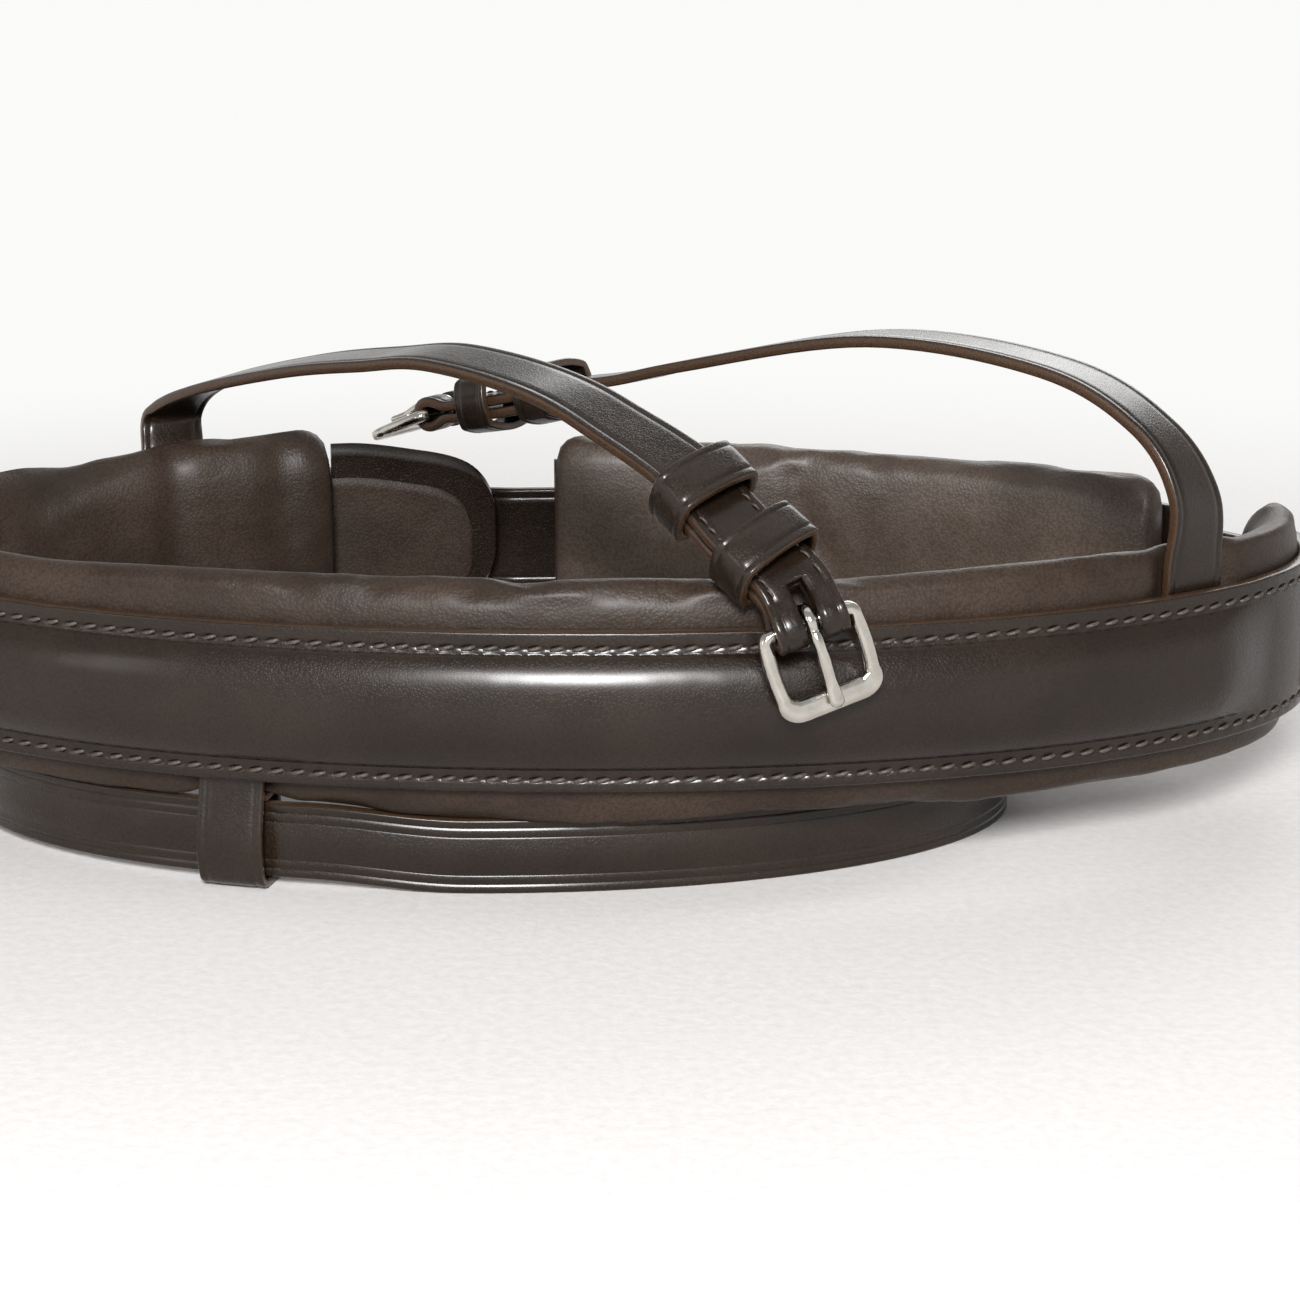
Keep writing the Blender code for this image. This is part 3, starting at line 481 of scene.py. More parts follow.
def leather_material(name, dark, light, cell_scale, grain_depth, roughness, specular, coat):
    """Grained leather; its raw_edge attribute turns cut edges brown and fibrous."""
    nodes = Nodes(name)
    tone = nodes.mix(nodes.ramp(nodes.noise(38.0, 4.0), 0.0, 1.0, 0.32, 0.68), dark, light)
    cells = nodes.cells(cell_scale)
    tone = nodes.mix(nodes.ramp(cells, 0.0, 0.45, 0.35, 0.75), tone, tuple(c * 0.45 for c in dark))
    fibre = nodes.noise(3200.0, 3.0, 0.7)
    raw = nodes.mix(nodes.ramp(fibre, 0.0, 1.0, 0.3, 0.75), RAW_DARK, RAW_LIGHT)
    edge = nodes.add("ShaderNodeAttribute", attribute_name="raw_edge").outputs["Fac"]
    wear = nodes.ramp(nodes.noise(260.0, 3.0), -0.12, 0.12, 0.3, 0.7)
    edge = nodes.ramp(nodes.math("ADD", edge, wear), 0.0, 1.0, 0.30, 0.80)
    colour = nodes.mix(edge, tone, raw)
    gloss = nodes.ramp(nodes.noise(75.0, 4.0, 0.6), *roughness, 0.3, 0.7)
    grain = nodes.bump(nodes.ramp(cells, 1.0, 0.0, 0.0, 0.7), grain_depth)
    grain = nodes.bump(nodes.noise(3600.0, 1.0, 0.5), grain_depth * 0.55, after=grain)
    grain = nodes.bump(nodes.noise(160.0, 3.0, 0.5, 0.8), grain_depth * 3.5, after=grain)
    return nodes.finish(colour, gloss, grain, Coat_Weight=coat, Coat_Roughness=COAT_ROUGHNESS,
                        Specular_IOR_Level=specular)


def thread_material():
    nodes = Nodes("waxed_thread")
    strand = nodes.noise(2400.0, 3.0, 0.6)
    colour = nodes.mix(nodes.ramp(strand, 0.0, 1.0, 0.3, 0.7), THREAD_DARK, THREAD_LIGHT)
    gloss = nodes.ramp(nodes.noise(900.0), 0.35, 0.6, 0.3, 0.7)
    return nodes.finish(colour, gloss, nodes.bump(strand, 0.00012))


def nickel_material():
    nodes = Nodes("polished_nickel")
    tint = nodes.mix(nodes.ramp(nodes.noise(240.0, 4.0), 0.0, 1.0, 0.35, 0.75), NICKEL_LIGHT, NICKEL_DARK)
    gloss = nodes.ramp(nodes.noise(700.0, 4.0, 0.65), 0.07, 0.20, 0.3, 0.75)
    rub = nodes.bump(nodes.noise(1500.0, 3.0, 0.6, 2.0), 0.00002)
    rub = nodes.bump(nodes.noise(220.0, 2.0), 0.00012, after=rub)
    return nodes.finish(tint, gloss, rub, Metallic=1.0)


def seen_ray(tree):
    """1 for rays that show the backdrop: from the camera, or mirrored or let through to it."""
    path = tree.nodes.new("ShaderNodeLightPath")
    value = path.outputs["Is Camera Ray"]
    for name in ("Is Glossy Ray", "Is Transmission Ray"):
        highest = tree.nodes.new("ShaderNodeMath")
        highest.operation = "MAXIMUM"
        tree.links.new(value, highest.inputs[0])
        tree.links.new(path.outputs[name], highest.inputs[1])
        value = highest.outputs[0]
    return value


def floor_material():
    nodes = Nodes("pale_floor")
    cloth = nodes.noise(420.0, 4.0, 0.6)
    colour = nodes.mix(nodes.ramp(cloth, 0.0, 1.0, 0.3, 0.7), FLOOR_DARK, FLOOR_LIGHT)
    gloss = nodes.ramp(cloth, 0.85, 0.95)
    material = nodes.finish(colour, gloss, nodes.bump(cloth, 0.0003, 0.4), Specular_IOR_Level=0.2)
    distance = nodes.add("ShaderNodeVectorMath", operation="LENGTH")
    nodes.link(nodes.place, distance.inputs[0])
    far = nodes.ramp(distance.outputs["Value"], 0.0, 1.0, FLOOR_FADE[0], FLOOR_FADE[1])
    far.node.interpolation_type = "SMOOTHSTEP"
    far = nodes.math("MULTIPLY", far, seen_ray(nodes.tree))
    white = nodes.add("ShaderNodeEmission", Color=(*BACKDROP, 1.0), Strength=1.0)
    blend = nodes.add("ShaderNodeMixShader")
    nodes.link(far, blend.inputs[0])
    nodes.link(nodes.shader.outputs[0], blend.inputs[1])
    nodes.link(white.outputs[0], blend.inputs[2])
    nodes.link(blend.outputs[0], nodes.tree.nodes["Material Output"].inputs["Surface"])
    return material


LOOKS = {
    "leather": leather_material("bridle_leather", LEATHER_DARK, LEATHER_LIGHT, 1900.0, 0.00008,
                                (0.30, 0.42), 0.08, 0.60),
    "lining": leather_material("lining_leather", LINING_DARK, LINING_LIGHT, 1500.0, 0.00005,
                               (0.40, 0.55), 0.22, 0.06),
    # The lining leather again, painted lighter: painted light for the lit back wall
    "pad_lining": leather_material("pad_lining_leather", PAD_LINING_LIT_DARK, PAD_LINING_LIT_LIGHT, 1500.0, 0.00005,
                                   (0.40, 0.55), 0.32, 0.08),
    "thread": thread_material(),
    "nickel": nickel_material(),
    "floor": floor_material(),
}


def strap_section(width, thick, crease, dent, corner, back_crease=True, double=False):
    """Outline of a strap across its length, as (w, t, raw edge share) points."""
    half = width / 2
    mark = half - crease
    stops = [-half + corner, -mark - 0.6, -mark - 0.28, -mark, -mark + 0.28, -mark + 0.6]
    stops += [-mark + CREASE_STEP + away for away in (-0.35, 0.0, 0.35)]
    stops = stops + [0.0] + [-w for w in reversed(stops)]

    def face(height, creased):
        points = []
        for w in stops:
            depth = dent * max(0.0, 1.0 - abs(abs(w) - mark) / 0.55) if creased else 0.0
            if creased and double:
                depth += 0.7 * dent * max(0.0, 1.0 - abs(abs(w) - mark + CREASE_STEP) / 0.4)
            points.append((w, height - math.copysign(depth, height), 0.0))
        return points

    def side(sign):
        points = []
        for angle, share in ((25, 0.15), (55, 0.6), (80, 1.0), (100, 1.0), (125, 0.6), (155, 0.15)):
            turn = math.radians(angle)
            bulge = corner * math.sin(turn)
            t = math.cos(turn)
            centre_t = math.copysign(thick / 2 - corner, t)
            points.append((sign * (half - corner + bulge), centre_t + corner * t, share))
        return points

    top = face(thick / 2, True)
    bottom = face(-thick / 2, back_crease)
    return top + side(1.0) + bottom[::-1] + side(-1.0)[::-1]


def sweep_strap(name, place, line, section, body="noseband", step=1.2, tip=0.0):
    """A strap along an (s, n) line; tip is the length of the tapered tip at its end."""
    fine = refine(line, step)
    lengths = [0.0]
    for a, b in zip(fine, fine[1:]):
        lengths.append(lengths[-1] + (b - a).length)
    rings = []
    marks = []
    for i, spot in enumerate(fine):
        along = (fine[min(i + 1, len(fine) - 1)] - fine[max(i - 1, 0)]).normalized()
        across = Vector((-along.y, along.x))
        narrow = 1.0
        if lengths[-1] - lengths[i] < tip:
            share = 1.0 - (lengths[-1] - lengths[i]) / tip
            narrow = (1.0 - 0.55 * share ** 1.6) * math.sqrt(1.0 - share ** 6 * 0.97)
        end_near = min(lengths[i], lengths[-1] - lengths[i])
        thin = 1.0 if end_near > 0.4 else 0.72 + 0.7 * end_near
        rings.append([place(spot.x + across.x * t * thin, spot.y + across.y * t * thin, w * narrow)
                      for w, t, _ in section])
        marks.append([max(mark, 0.8) if end_near < 0.05 else mark for _, _, mark in section])
    return write_mesh(name, rings, marks, body=body)


def sweep_keeper(name, place, middle, low, high, half, size, body):
    """A leather loop round a strap, with a creased outer face and raw edges."""
    radius = 1.6
    thick = size["thick"]
    grow = thick / 2
    line = []
    for w, n, start in ((half, low, -90.0), (half, high, 0.0), (-half, high, 90.0), (-half, low, 180.0)):
        centre_w = w - math.copysign(radius - grow, w)
        centre_n = n + (radius - grow if n == low else -(radius - grow))
        for k in range(3):
            angle = math.radians(start + 45.0 * k)
            line.append((centre_w + radius * math.cos(angle), centre_n + radius * math.sin(angle)))
        if n == high and w > 0:
            for share in (0.5, 0.0, -0.5):
                line.append((share * half, high + grow + size["arch"] * (1.0 - share * share)))
    fine = refine(line, 0.8, closed=True)
    section = strap_section(size["length"], thick, 1.6, 0.24, 0.45, back_crease=False)
    rings = []
    for i, spot in enumerate(fine):
        along = (fine[(i + 1) % len(fine)] - fine[i - 1]).normalized()
        out = Vector((along.y, -along.x))
        rings.append([place(middle + s, spot.y + out.y * t, spot.x + out.x * t) for s, t, _ in section])
    marks = [[mark for _, _, mark in section]] * len(rings)
    return write_mesh(name, rings, marks, body=body, closed=True)


def bar_ring(spot, along, normal, wide, tall, power):
    """A rounded outline round a point: wide in the plane of the frame, tall along its normal."""
    across = along.cross(normal).normalized()
    ring = []
    for k in range(14):
        angle = math.tau * k / 14
        c, s = math.cos(angle), math.sin(angle)
        x = math.copysign(abs(c) ** power, c) * wide
        y = math.copysign(abs(s) ** power, s) * tall
        ring.append(spot + across * x + normal * y)
    return ring


def frame_line(length, half):
    """The middle line of a buckle frame in its own plane; its hinge bar is at u = 0."""
    corner = 3.2
    corners = [(length, -half), (length, half), (0.0, half), (0.0, -half)]
    turns = [(180.0, 90.0), (90.0, 0.0), (0.0, -90.0), (-90.0, -180.0)]
    points = []
    for (u, w), (start, end) in zip(corners, turns):
        round_by = corner if u > 0 else corner * 0.55
        centre_u = u - round_by if u > 0 else u + round_by
        centre_w = w - math.copysign(round_by, w)
        for k in range(7):
            angle = math.radians(start + (end - start) * k / 6)
            points.append((centre_u + round_by * math.sin(angle), centre_w + round_by * math.cos(angle)))
        if (u > 0) == (w < 0):
            for share in (-0.45, 0.0, 0.45):
                points.append((u, (share if u > 0 else -share) * half * 1.1))
    return refine(points, 1.0, closed=True)


def build_frame(name, spot_at, length, half, bar, front_wide, body="noseband"):
    """A cast buckle frame; spot_at turns (u, w) into a point."""
    line = frame_line(length, half)
    points = [spot_at(u, w) for u, w in line]
    count = len(points)
    rings = []
    for i, point in enumerate(points):
        along = (points[(i + 1) % count] - points[i - 1]).normalized()
        u, w = line[i]
        plane_u = (spot_at(u + 0.5, w) - spot_at(u - 0.5, w)).normalized()
        plane_w = (spot_at(u, w + 0.5) - spot_at(u, w - 0.5)).normalized()
        normal = plane_u.cross(plane_w).normalized()
        front = hump(u - length, 0.8, 3.0)
        hinge = hump(u, 0.6, 1.6)
        wide = bar + (front_wide - bar) * front
        tall = bar * (1.0 - 0.1 * front)
        power = 1.0 - 0.32 * front - 0.12 * (1.0 - hinge)
        rings.append(bar_ring(point, along, normal, wide, tall, power))
    return write_mesh(name, rings, look="nickel", body=body, closed=True)


# A tongue's slight bow: share of its length, and how far it stands off the straight line
TONGUE_BOW = [(0.22, 0.45), (0.38, 0.5), (0.55, 0.1), (0.7, -0.3), (0.82, -0.2), (1.0, 0.05)]


def build_tongue(name, origin, along, side, length, bar, pin, body):
    """A buckle tongue: an eye bent round the hinge bar, a straight bar and a flattened tip."""
    out = along.cross(side).normalized()
    eye = bar + GAP + pin
    line = [(eye * math.cos(math.radians(-60.0 - 40.0 * k)), eye * math.sin(math.radians(-60.0 - 40.0 * k)))
            for k in range(7)]
    line.append((eye * 0.75, eye))
    line += [(length * share, eye + bow) for share, bow in TONGUE_BOW]
    fine = refine(line, 0.6)
    points = [origin + along * u + out * n for u, n in fine]
    rings = []
    last = len(points) - 1
    for i, point in enumerate(points):
        direction = (points[min(i + 1, last)] - points[max(i - 1, 0)]).normalized()
        normal = side.cross(direction).normalized()
        u = fine[i].x
        flat = hump(u - length, 1.5, 5.0)
        neck = hump(u - eye * 1.6, 0.5, 2.5)
        away = min(i, last - i) * 0.6
        tip = math.sqrt(1.0 - max(0.0, 1.0 - away / pin) ** 2 * 0.9)
        wide = pin * (1.12 + 0.2 * flat - 0.15 * neck) * tip
        tall = pin * (1.0 - 0.22 * flat) * tip
        rings.append(bar_ring(point, direction, normal, wide, tall, 0.9))
    return write_mesh(name, rings, look="nickel", body=body)


def clamp(value):
    return min(max(value, 0.0), 1.0)


# The puffed skins: frames of cloth, its pressure, and its shrinking, where less than 0 is growing
CLOTH_FRAMES = 20
CLOTH_PRESSURE = 4.0
CLOTH_SHRINK = -0.035
# Fine creases over the puffed skins
CRUMPLE_SIZE = 5.0
CRUMPLE_DEPTH = 0.14
# Length of one section of a roll, and the distance between its points
ROLL_STEP = 3.4
ROLL_POINT_STEP = 3.2


def puff(thing, sewn, cap):
    """Cloth under a little pressure, held where it is sewn; no point moves more than cap mm."""
    scene = bpy.context.scene
    thing.vertex_groups.new(name="sewn").add(sewn, 1.0, "REPLACE")
    cloth = thing.modifiers.new("puff", "CLOTH")
    cloth.settings.vertex_group_mass = "sewn"
    cloth.settings.use_pressure = True
    cloth.settings.uniform_pressure_force = CLOTH_PRESSURE
    cloth.settings.effector_weights.gravity = 0.0
    cloth.settings.shrink_min = CLOTH_SHRINK
    cloth.settings.quality = 5
    cloth.settings.mass = 0.1
    cloth.collision_settings.use_collision = False
    cloth.point_cache.frame_start = 1
    cloth.point_cache.frame_end = CLOTH_FRAMES
    for number in range(1, CLOTH_FRAMES + 1):
        scene.frame_set(number)
    graph = bpy.context.evaluated_depsgraph_get()
    moved = thing.evaluated_get(graph).data
    places = [vertex.co.copy() for vertex in moved.vertices]
    for vertex, new in zip(thing.data.vertices, places):
        step = new - vertex.co
        if step.length > cap * MM:
            step *= cap * MM / step.length
        vertex.co = vertex.co + step
    thing.modifiers.remove(cloth)
    thing.vertex_groups.clear()
    scene.frame_set(1)


def divide(thing):
    smoother = thing.modifiers.new("smooth", "SUBSURF")
    smoother.levels = 1
    smoother.render_levels = 1
    apply_modifiers(thing)


def crumple(thing):
    """Fine creases of soft leather, as small moves along each point's normal."""
    for vertex in thing.data.vertices:
        spot = Vector([c / MM / CRUMPLE_SIZE for c in vertex.co])
        ridge = 1.0 - abs(noise.noise(spot)) * 2.0
        soft = noise.noise(spot * 0.37 + Vector((7.0, 3.0, 5.0)))
        vertex.co = vertex.co + vertex.normal * (ridge * 0.4 + soft) * CRUMPLE_DEPTH * MM


def padded_roll(name, place, lengths, profile, sewn_at, look, cap):
    """A stuffed tube of soft leather, closed at its ends; profile(s) gives (n, w) points."""
    rings = []
    outlines = [refine(profile(s), ROLL_POINT_STEP, True, profile(lengths[0])) for s in lengths]
    for i, (s, outline) in enumerate(zip(lengths, outlines)):
        middle_n = sum(p.x for p in outline) / len(outline)
        middle_w = sum(p.y for p in outline) / len(outline)
        near = min(i, len(lengths) - 1 - i)
        full = (0.80, 0.95, 1.0)[min(near, 2)]
        rings.append([place(s, middle_n + (p.x - middle_n) * full, middle_w + (p.y - middle_w) * full)
                      for p in outline])
    thing = write_mesh(name, rings, look=look, flat=180.0)
    sewn = [i * len(rings[0]) + k for i, outline in enumerate(outlines)
            for k, p in enumerate(outline) if sewn_at(p.x, p.y)]
    puff(thing, sewn, cap)
    divide(thing)
    crumple(thing)
    return thing


def stitch_row(name, point_at, start, end, body="noseband", pitch=STITCH_PITCH, radius=THREAD_RADIUS):
    """A row of slanted stitches; point_at(s, w, n) is a point near the seam's line, n above the leather."""
    bm = bmesh.new()
    count = int((end - start) / pitch)
    sides = 6
    for number in range(count):
        centre = start + (number + 0.5) * pitch
        path = []
        for k in range(7):
            t = -1.0 + k / 3.0
            lift = -0.75 + (radius + 0.78) * math.sqrt(max(1.0 - 0.92 * t * t, 0.0))
            path.append(point_at(centre + t * 0.38 * pitch, t * STITCH_LEAN, lift))
        rings = []
        normal = (point_at(centre, 0.0, 1.0) - point_at(centre, 0.0, 0.0)).normalized()
        for k, point in enumerate(path):
            along = (path[min(k + 1, 6)] - path[max(k - 1, 0)]).normalized()
            across = along.cross(normal).normalized()
            up = across.cross(along)
            thick = radius * (0.55, 0.88, 1.0, 1.04, 1.0, 0.88, 0.55)[k]
            rings.append([bm.verts.new((point + across * thick * 1.1 * math.cos(math.tau * j / sides)
                                        + up * thick * math.sin(math.tau * j / sides) - MIDDLE) * MM)
                          for j in range(sides)])
        for a, b in zip(rings, rings[1:]):
            for j in range(sides):
                bm.faces.new((a[j], a[(j + 1) % sides], b[(j + 1) % sides], b[j]))
        bm.faces.new(rings[0])
        bm.faces.new(rings[-1])
    bmesh.ops.recalc_face_normals(bm, faces=bm.faces)
    write_bmesh(name, bm, "thread", body, 70.0)


# The raised middle: how far it reaches to each side, and its height there as a share of the whole rise
BULGE_HALF = 12.0
BULGE = [(w, 1.03 * (1.0 - (w / BULGE_HALF) ** 2.6) ** 0.8)
         for w in (12.0, 11.8, 11.4, 10.8, 10.0, 9.0, 7.7, 6.0, 4.0, 2.0, 0.0)]
# The cut edge of the face leather: how far inside its rim, height, raw edge share
FACE_EDGE = [(0.55, 3.2, 0.0), (0.25, 3.1, 0.2), (0.05, 2.85, 0.7), (-0.05, 2.3, 1.0), (-0.05, 1.0, 1.0),
             (0.15, 0.35, 0.9), (0.55, 0.02, 0.5)]
# The leather sinks along a seam, more at each needle hole, where the leather around it is pulled down too
SEAM_DIP = 0.20
HOLE_DIP = 0.55
HOLE_PULL = 0.26
# Points across the band that carries the stitches, from its own line
FACE_BAND = [1.6, 1.2, 0.85, 0.55, 0.35, 0.18, 0.0, -0.18, -0.35, -0.55, -0.9]


def build_face(ring, left, right):
    def raised(s):
        near = min(s - left, right - s)
        share = clamp((near - RAISE_FADE[0]) / (RAISE_FADE[1] - RAISE_FADE[0]))
        return RAISE * share * share * (3.0 - 2.0 * share)

    def outer(s):
        rise = raised(s)
        phase = ((s - left) / STITCH_PITCH) % 1.0
        hole = math.exp(-(min(phase, 1.0 - phase) / 0.16) ** 2)
        slow = noise.noise(Vector((s * 0.045, 1.7, 0.0)))
        quick = noise.noise(Vector((s * 0.2, 9.0, 0.0)))
        wave = 0.12 * slow + 0.05 * quick

        def half(seam_in, seed):
            shift = 0.12 * noise.noise(Vector((s * 0.12, seed, 0.0)))
            points = [(FACE_HALF - inside + shift, n, mark) for inside, n, mark in reversed(FACE_EDGE)]
            for off in FACE_BAND:
                near = max(0.0, 1.0 - abs(off) / 0.75)
                pulled = HOLE_PULL * hole * max(0.0, 1.0 - abs(off) / 2.4)
                height = FACE_THICK - (SEAM_DIP + HOLE_DIP * hole) * near - pulled
                points.append((FACE_HALF - seam_in + off, height, 0.0))
            for w, share in BULGE:
                points.append((w, FACE_THICK + rise * share + (wave if w < 9.0 and rise > 1.0 else 0.0), 0.0))
            return points

        whole = half(UPPER_STITCH_IN, 4.0) + [(-w, n, mark)
                                              for w, n, mark in reversed(half(LOWER_STITCH_IN, 6.0)[:-1])]
        return [(w + FACE_MIDDLE, n, mark) for w, n, mark in whole]

    lengths = [left, left + 0.25] + spread(left + 0.6, right - 0.6, STITCH_PITCH / 4) + [right - 0.25, right]
    rings = []
    marks = []
    for i, s in enumerate(lengths):
        near = min(i, len(lengths) - 1 - i)
        thin = (0.62, 0.88, 1.0)[min(near, 2)]
        profile = outer(s)
        rings.append([ring.place(s, FACE_THICK * 0.5 + (n - FACE_THICK * 0.5) * thin,
                                 FACE_MIDDLE + (w - FACE_MIDDLE) * (0.97 + 0.03 * thin))
                      for w, n, _ in profile])
        marks.append([max(mark, 0.9 - 0.4 * near) if near < 2 else mark for _, _, mark in profile])
    face = write_mesh("nosepiece_leather", rings, marks)
    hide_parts("nosepiece_face", "nosepiece_filler")
    for name, seam in (("upper", FACE_MIDDLE + FACE_HALF - UPPER_STITCH_IN),
                       ("lower", FACE_MIDDLE - FACE_HALF + LOWER_STITCH_IN)):
        stitch_row("nosepiece_stitches_" + name,
                   lambda s, w, n, seam=seam: ring.place(s, FACE_THICK - 0.35 + n, seam + w),
                   left + 6.6, right - 6.6)


def loop_heights(ring, loop_at):
    """Middle of the flash loop's floor and of its roof, from the middle of the ring."""
    floor = LOOP_THICK / 2 + 0.1 - RING_Z - ring.lift(loop_at)
    return floor, floor + FLASH_WIDTH + LOOP_THICK + 2 * GAP


# Soft folds across the lining near the left end, as lengths from it
LEFT_FOLDS = (14.0, 41.0)
# The soft roll sinks this much towards the flash strap, so far to each side of the flash loop
LOOP_SAG = 1.9
LOOP_SAG_FLAT = 80.0
# How deep the roll is dented: at the hangers' slots, at the flash loop, and in a soft fold
SLOT_DENT = -4.2
LOOP_DENT = -3.1
FOLD_DENT = 1.5


def build_roll(ring, left, right):
    slots = [at_angle(ring, LEFT_SLOT), at_angle(ring, RIGHT_SLOT)]
    loop_at = at_angle(ring, LOOP_ANGLE)
    shelf = loop_heights(ring, loop_at)[1] + LOOP_THICK / 2 + GAP

    def profile(s):
        points = []
        at_loop = hump(s - loop_at, LOOP_LENGTH / 2 + 1.0, 4.0)
        up = LOOP_RISE * hump(s - loop_at - LOOP_RISE_SHIFT, LOOP_RISE_FLAT, LOOP_RISE_FADE)
        up -= LOOP_SAG * hump(s - loop_at, LOOP_SAG_FLAT, LOOP_RISE_FADE)
        fold = sum(hump(s - left - at, 1.0, 4.0) for at in LEFT_FOLDS)
        for n, w in LINING_SIDE + [(-0.3, -7.0), (-0.3, 0.0), (-0.3, 7.0)]:
            if n < -8.0:
                n += FOLD_DENT * fold
            if w > -12.0:
                for slot in slots:
                    n = min(n, SLOT_DENT * hump(s - slot, HANGER_WIDTH / 2 + 1.0, 4.0))
            else:
                n = min(n, LOOP_DENT * at_loop)
                w += up * clamp((-13.0 - w) / 6.0)
            points.append((n, w + max(shelf - w, 0.0) * at_loop))
        return points

    roll = padded_roll("nosepiece_padding", ring.place, spread(left + 0.4, right - 0.4, ROLL_STEP), profile,
                       lambda n, w: n > -2.0 or n > -4.5 and abs(w) < 18.0, "lining", 1.1)
    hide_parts("nosepiece_lining", "nosepiece_foam")


def hanger_route(ring, slot, route_points, sides):
    """The hanger's middle line, root first, the length of the strap alone, and the start of its arch."""
    n_mid = -GAP - HANGER_THICK / 2 - 0.5
    tangent = ring.read(slot)[1]
    hinge = ring.place(slot, n_mid, HINGE_HEIGHT)
    curve = smooth([hinge] + route_points)
    turns = [tangent * -1.0] + [Vector(v) for v in sides]
    all_sides = []
    for i in range(len(curve)):
        share = i / (len(curve) - 1) * (len(turns) - 1)
        low = min(int(share), len(turns) - 2)
        all_sides.append(turns[low].lerp(turns[low + 1], share - low).normalized())
    root = [ring.place(slot, n_mid, w) for w in ROOT_HEIGHTS]
    whole = Route(root + curve, [tangent * -1.0] * len(root) + all_sides)
    return whole, Route(curve, all_sides).total, curve[:4]


def blend_root(strap, tangent, arch):
    """The strap, one piece of leather from its sewn root on, with its place written into its mesh."""
    inward = Vector((0.0, 0.0, 1.0)).cross(tangent).normalized()
    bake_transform(strap)


def build_hanger(side_name, ring, slot_angle, route_points, sides, along):
    slot = at_angle(ring, slot_angle)
    whole, end, arch = hanger_route(ring, slot, route_points, sides)
    start = whole.total - end
    half_n = HANGER_THICK / 2 + GAP
    bar, pin, length, half = HANGER_BUCKLE.values()
    eye = bar + GAP + HANGER_THICK / 2
    body = side_name + "_hanger"

    def place(s, n, w):
        return whole.place(s + start, n, w)

    line = [(-start, 0.0), (-10.0, 0.0)] + [(s, 0.0) for s in spread(0.0, end - SINGLE_FROM, 8.0)]
    line.append((end - HALF_WAY_FROM, half_n * 0.6))
    double = [end - DOUBLE_FROM + DOUBLE_LENGTH * k / 10 for k in range(11)]
    line += [(s, half_n) for s in double]
    line += [(end - 2.4, eye * 0.86), (end, eye)]
    line += [(end + eye * math.sin(math.radians(a)), eye * math.cos(math.radians(a)))
             for a in range(30, 181, 30)]
    line.append((end - 2.4, -eye * 0.86))
    line += [(s, -half_n) for s in reversed(double)]
    section = strap_section(HANGER_WIDTH, HANGER_THICK, 1.9, 0.24, 0.7)
    strap = sweep_strap(side_name + "_hanger_leather", place, line, section, None)
    carve(strap, place, (end - 8.0, end + 7.0), (-6.0, 6.0), SLIT_HALF)
    blend_root(strap, ring.read(slot)[1], arch)
    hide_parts(side_name + "_hanger_root", side_name + "_hanger_strap")

    for name, sign in (("a", 1.0), ("b", -1.0)):
        seam = sign * (HANGER_WIDTH / 2 - HANGER_STITCH_IN)
        stitch_row(side_name + "_hanger_stitches_" + name,
                   lambda s, w, n, seam=seam: place(s, half_n + HANGER_THICK / 2 - 0.1 + n, seam + w * 0.6),
                   end - HANGER_STITCHES[0], end - HANGER_STITCHES[1], body, HANGER_PITCH, HANGER_THREAD)

    low = -half_n - HANGER_THICK / 2 - GAP
    high = half_n + HANGER_THICK / 2 + KEEPER_ROOM
    half_w = HANGER_WIDTH / 2 + KEEPER_SIDE_ROOM
    keeper = sweep_keeper(side_name + "_fixed_keeper_leather", place, end - FIXED_KEEPER_BACK, low, high,
                          half_w, KEEPER, body)
    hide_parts(side_name + "_fixed_keeper")
    runner = sweep_keeper(side_name + "_runner_leather", place, end - RUNNER_BACK, low, high - RUNNER_LOWER,
                          half_w, KEEPER, side_name + "_runner")
    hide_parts(side_name + "_runner")

    origin = place(end, 0.0, 0.0)
    across = whole.read(whole.total)[2]
    along = Vector(along)
    along = (along - across * along.dot(across)).normalized()
    frame = build_frame(side_name + "_buckle_nickel", lambda u, w: origin + along * u + across * w,
                        length, half, bar, FRONT_BAR, side_name + "_buckle")
    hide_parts(side_name + "_buckle_frame")
    tongue = build_tongue(side_name + "_tongue_nickel", origin, along, across, length + 1.2, bar, pin,
                          side_name + "_tongue")
    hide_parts(side_name + "_buckle_tongue")


def fastened(thick, size, base):
    """Heights of the layers of a fastened buckle, as in the part's source."""
    bar = size["bar"]
    chape_thick = thick * CHAPE_SHARE
    eye = bar + GAP + thick * CHAPE_SHARE / 2
    low_layer = base + SMALL_KEEPER["thick"] + 2 * GAP + chape_thick / 2
    high_layer = low_layer + chape_thick + GAP
    centre = (low_layer + high_layer) / 2
    front = centre + FRONT_RISE
    over = centre + eye + chape_thick / 2 + GAP + thick / 2
    under = front - bar - GAP - thick / 2
    return {"chape_thick": chape_thick, "eye": eye, "low": low_layer, "high": high_layer, "centre": centre,
            "front": front, "over": over, "under": under}


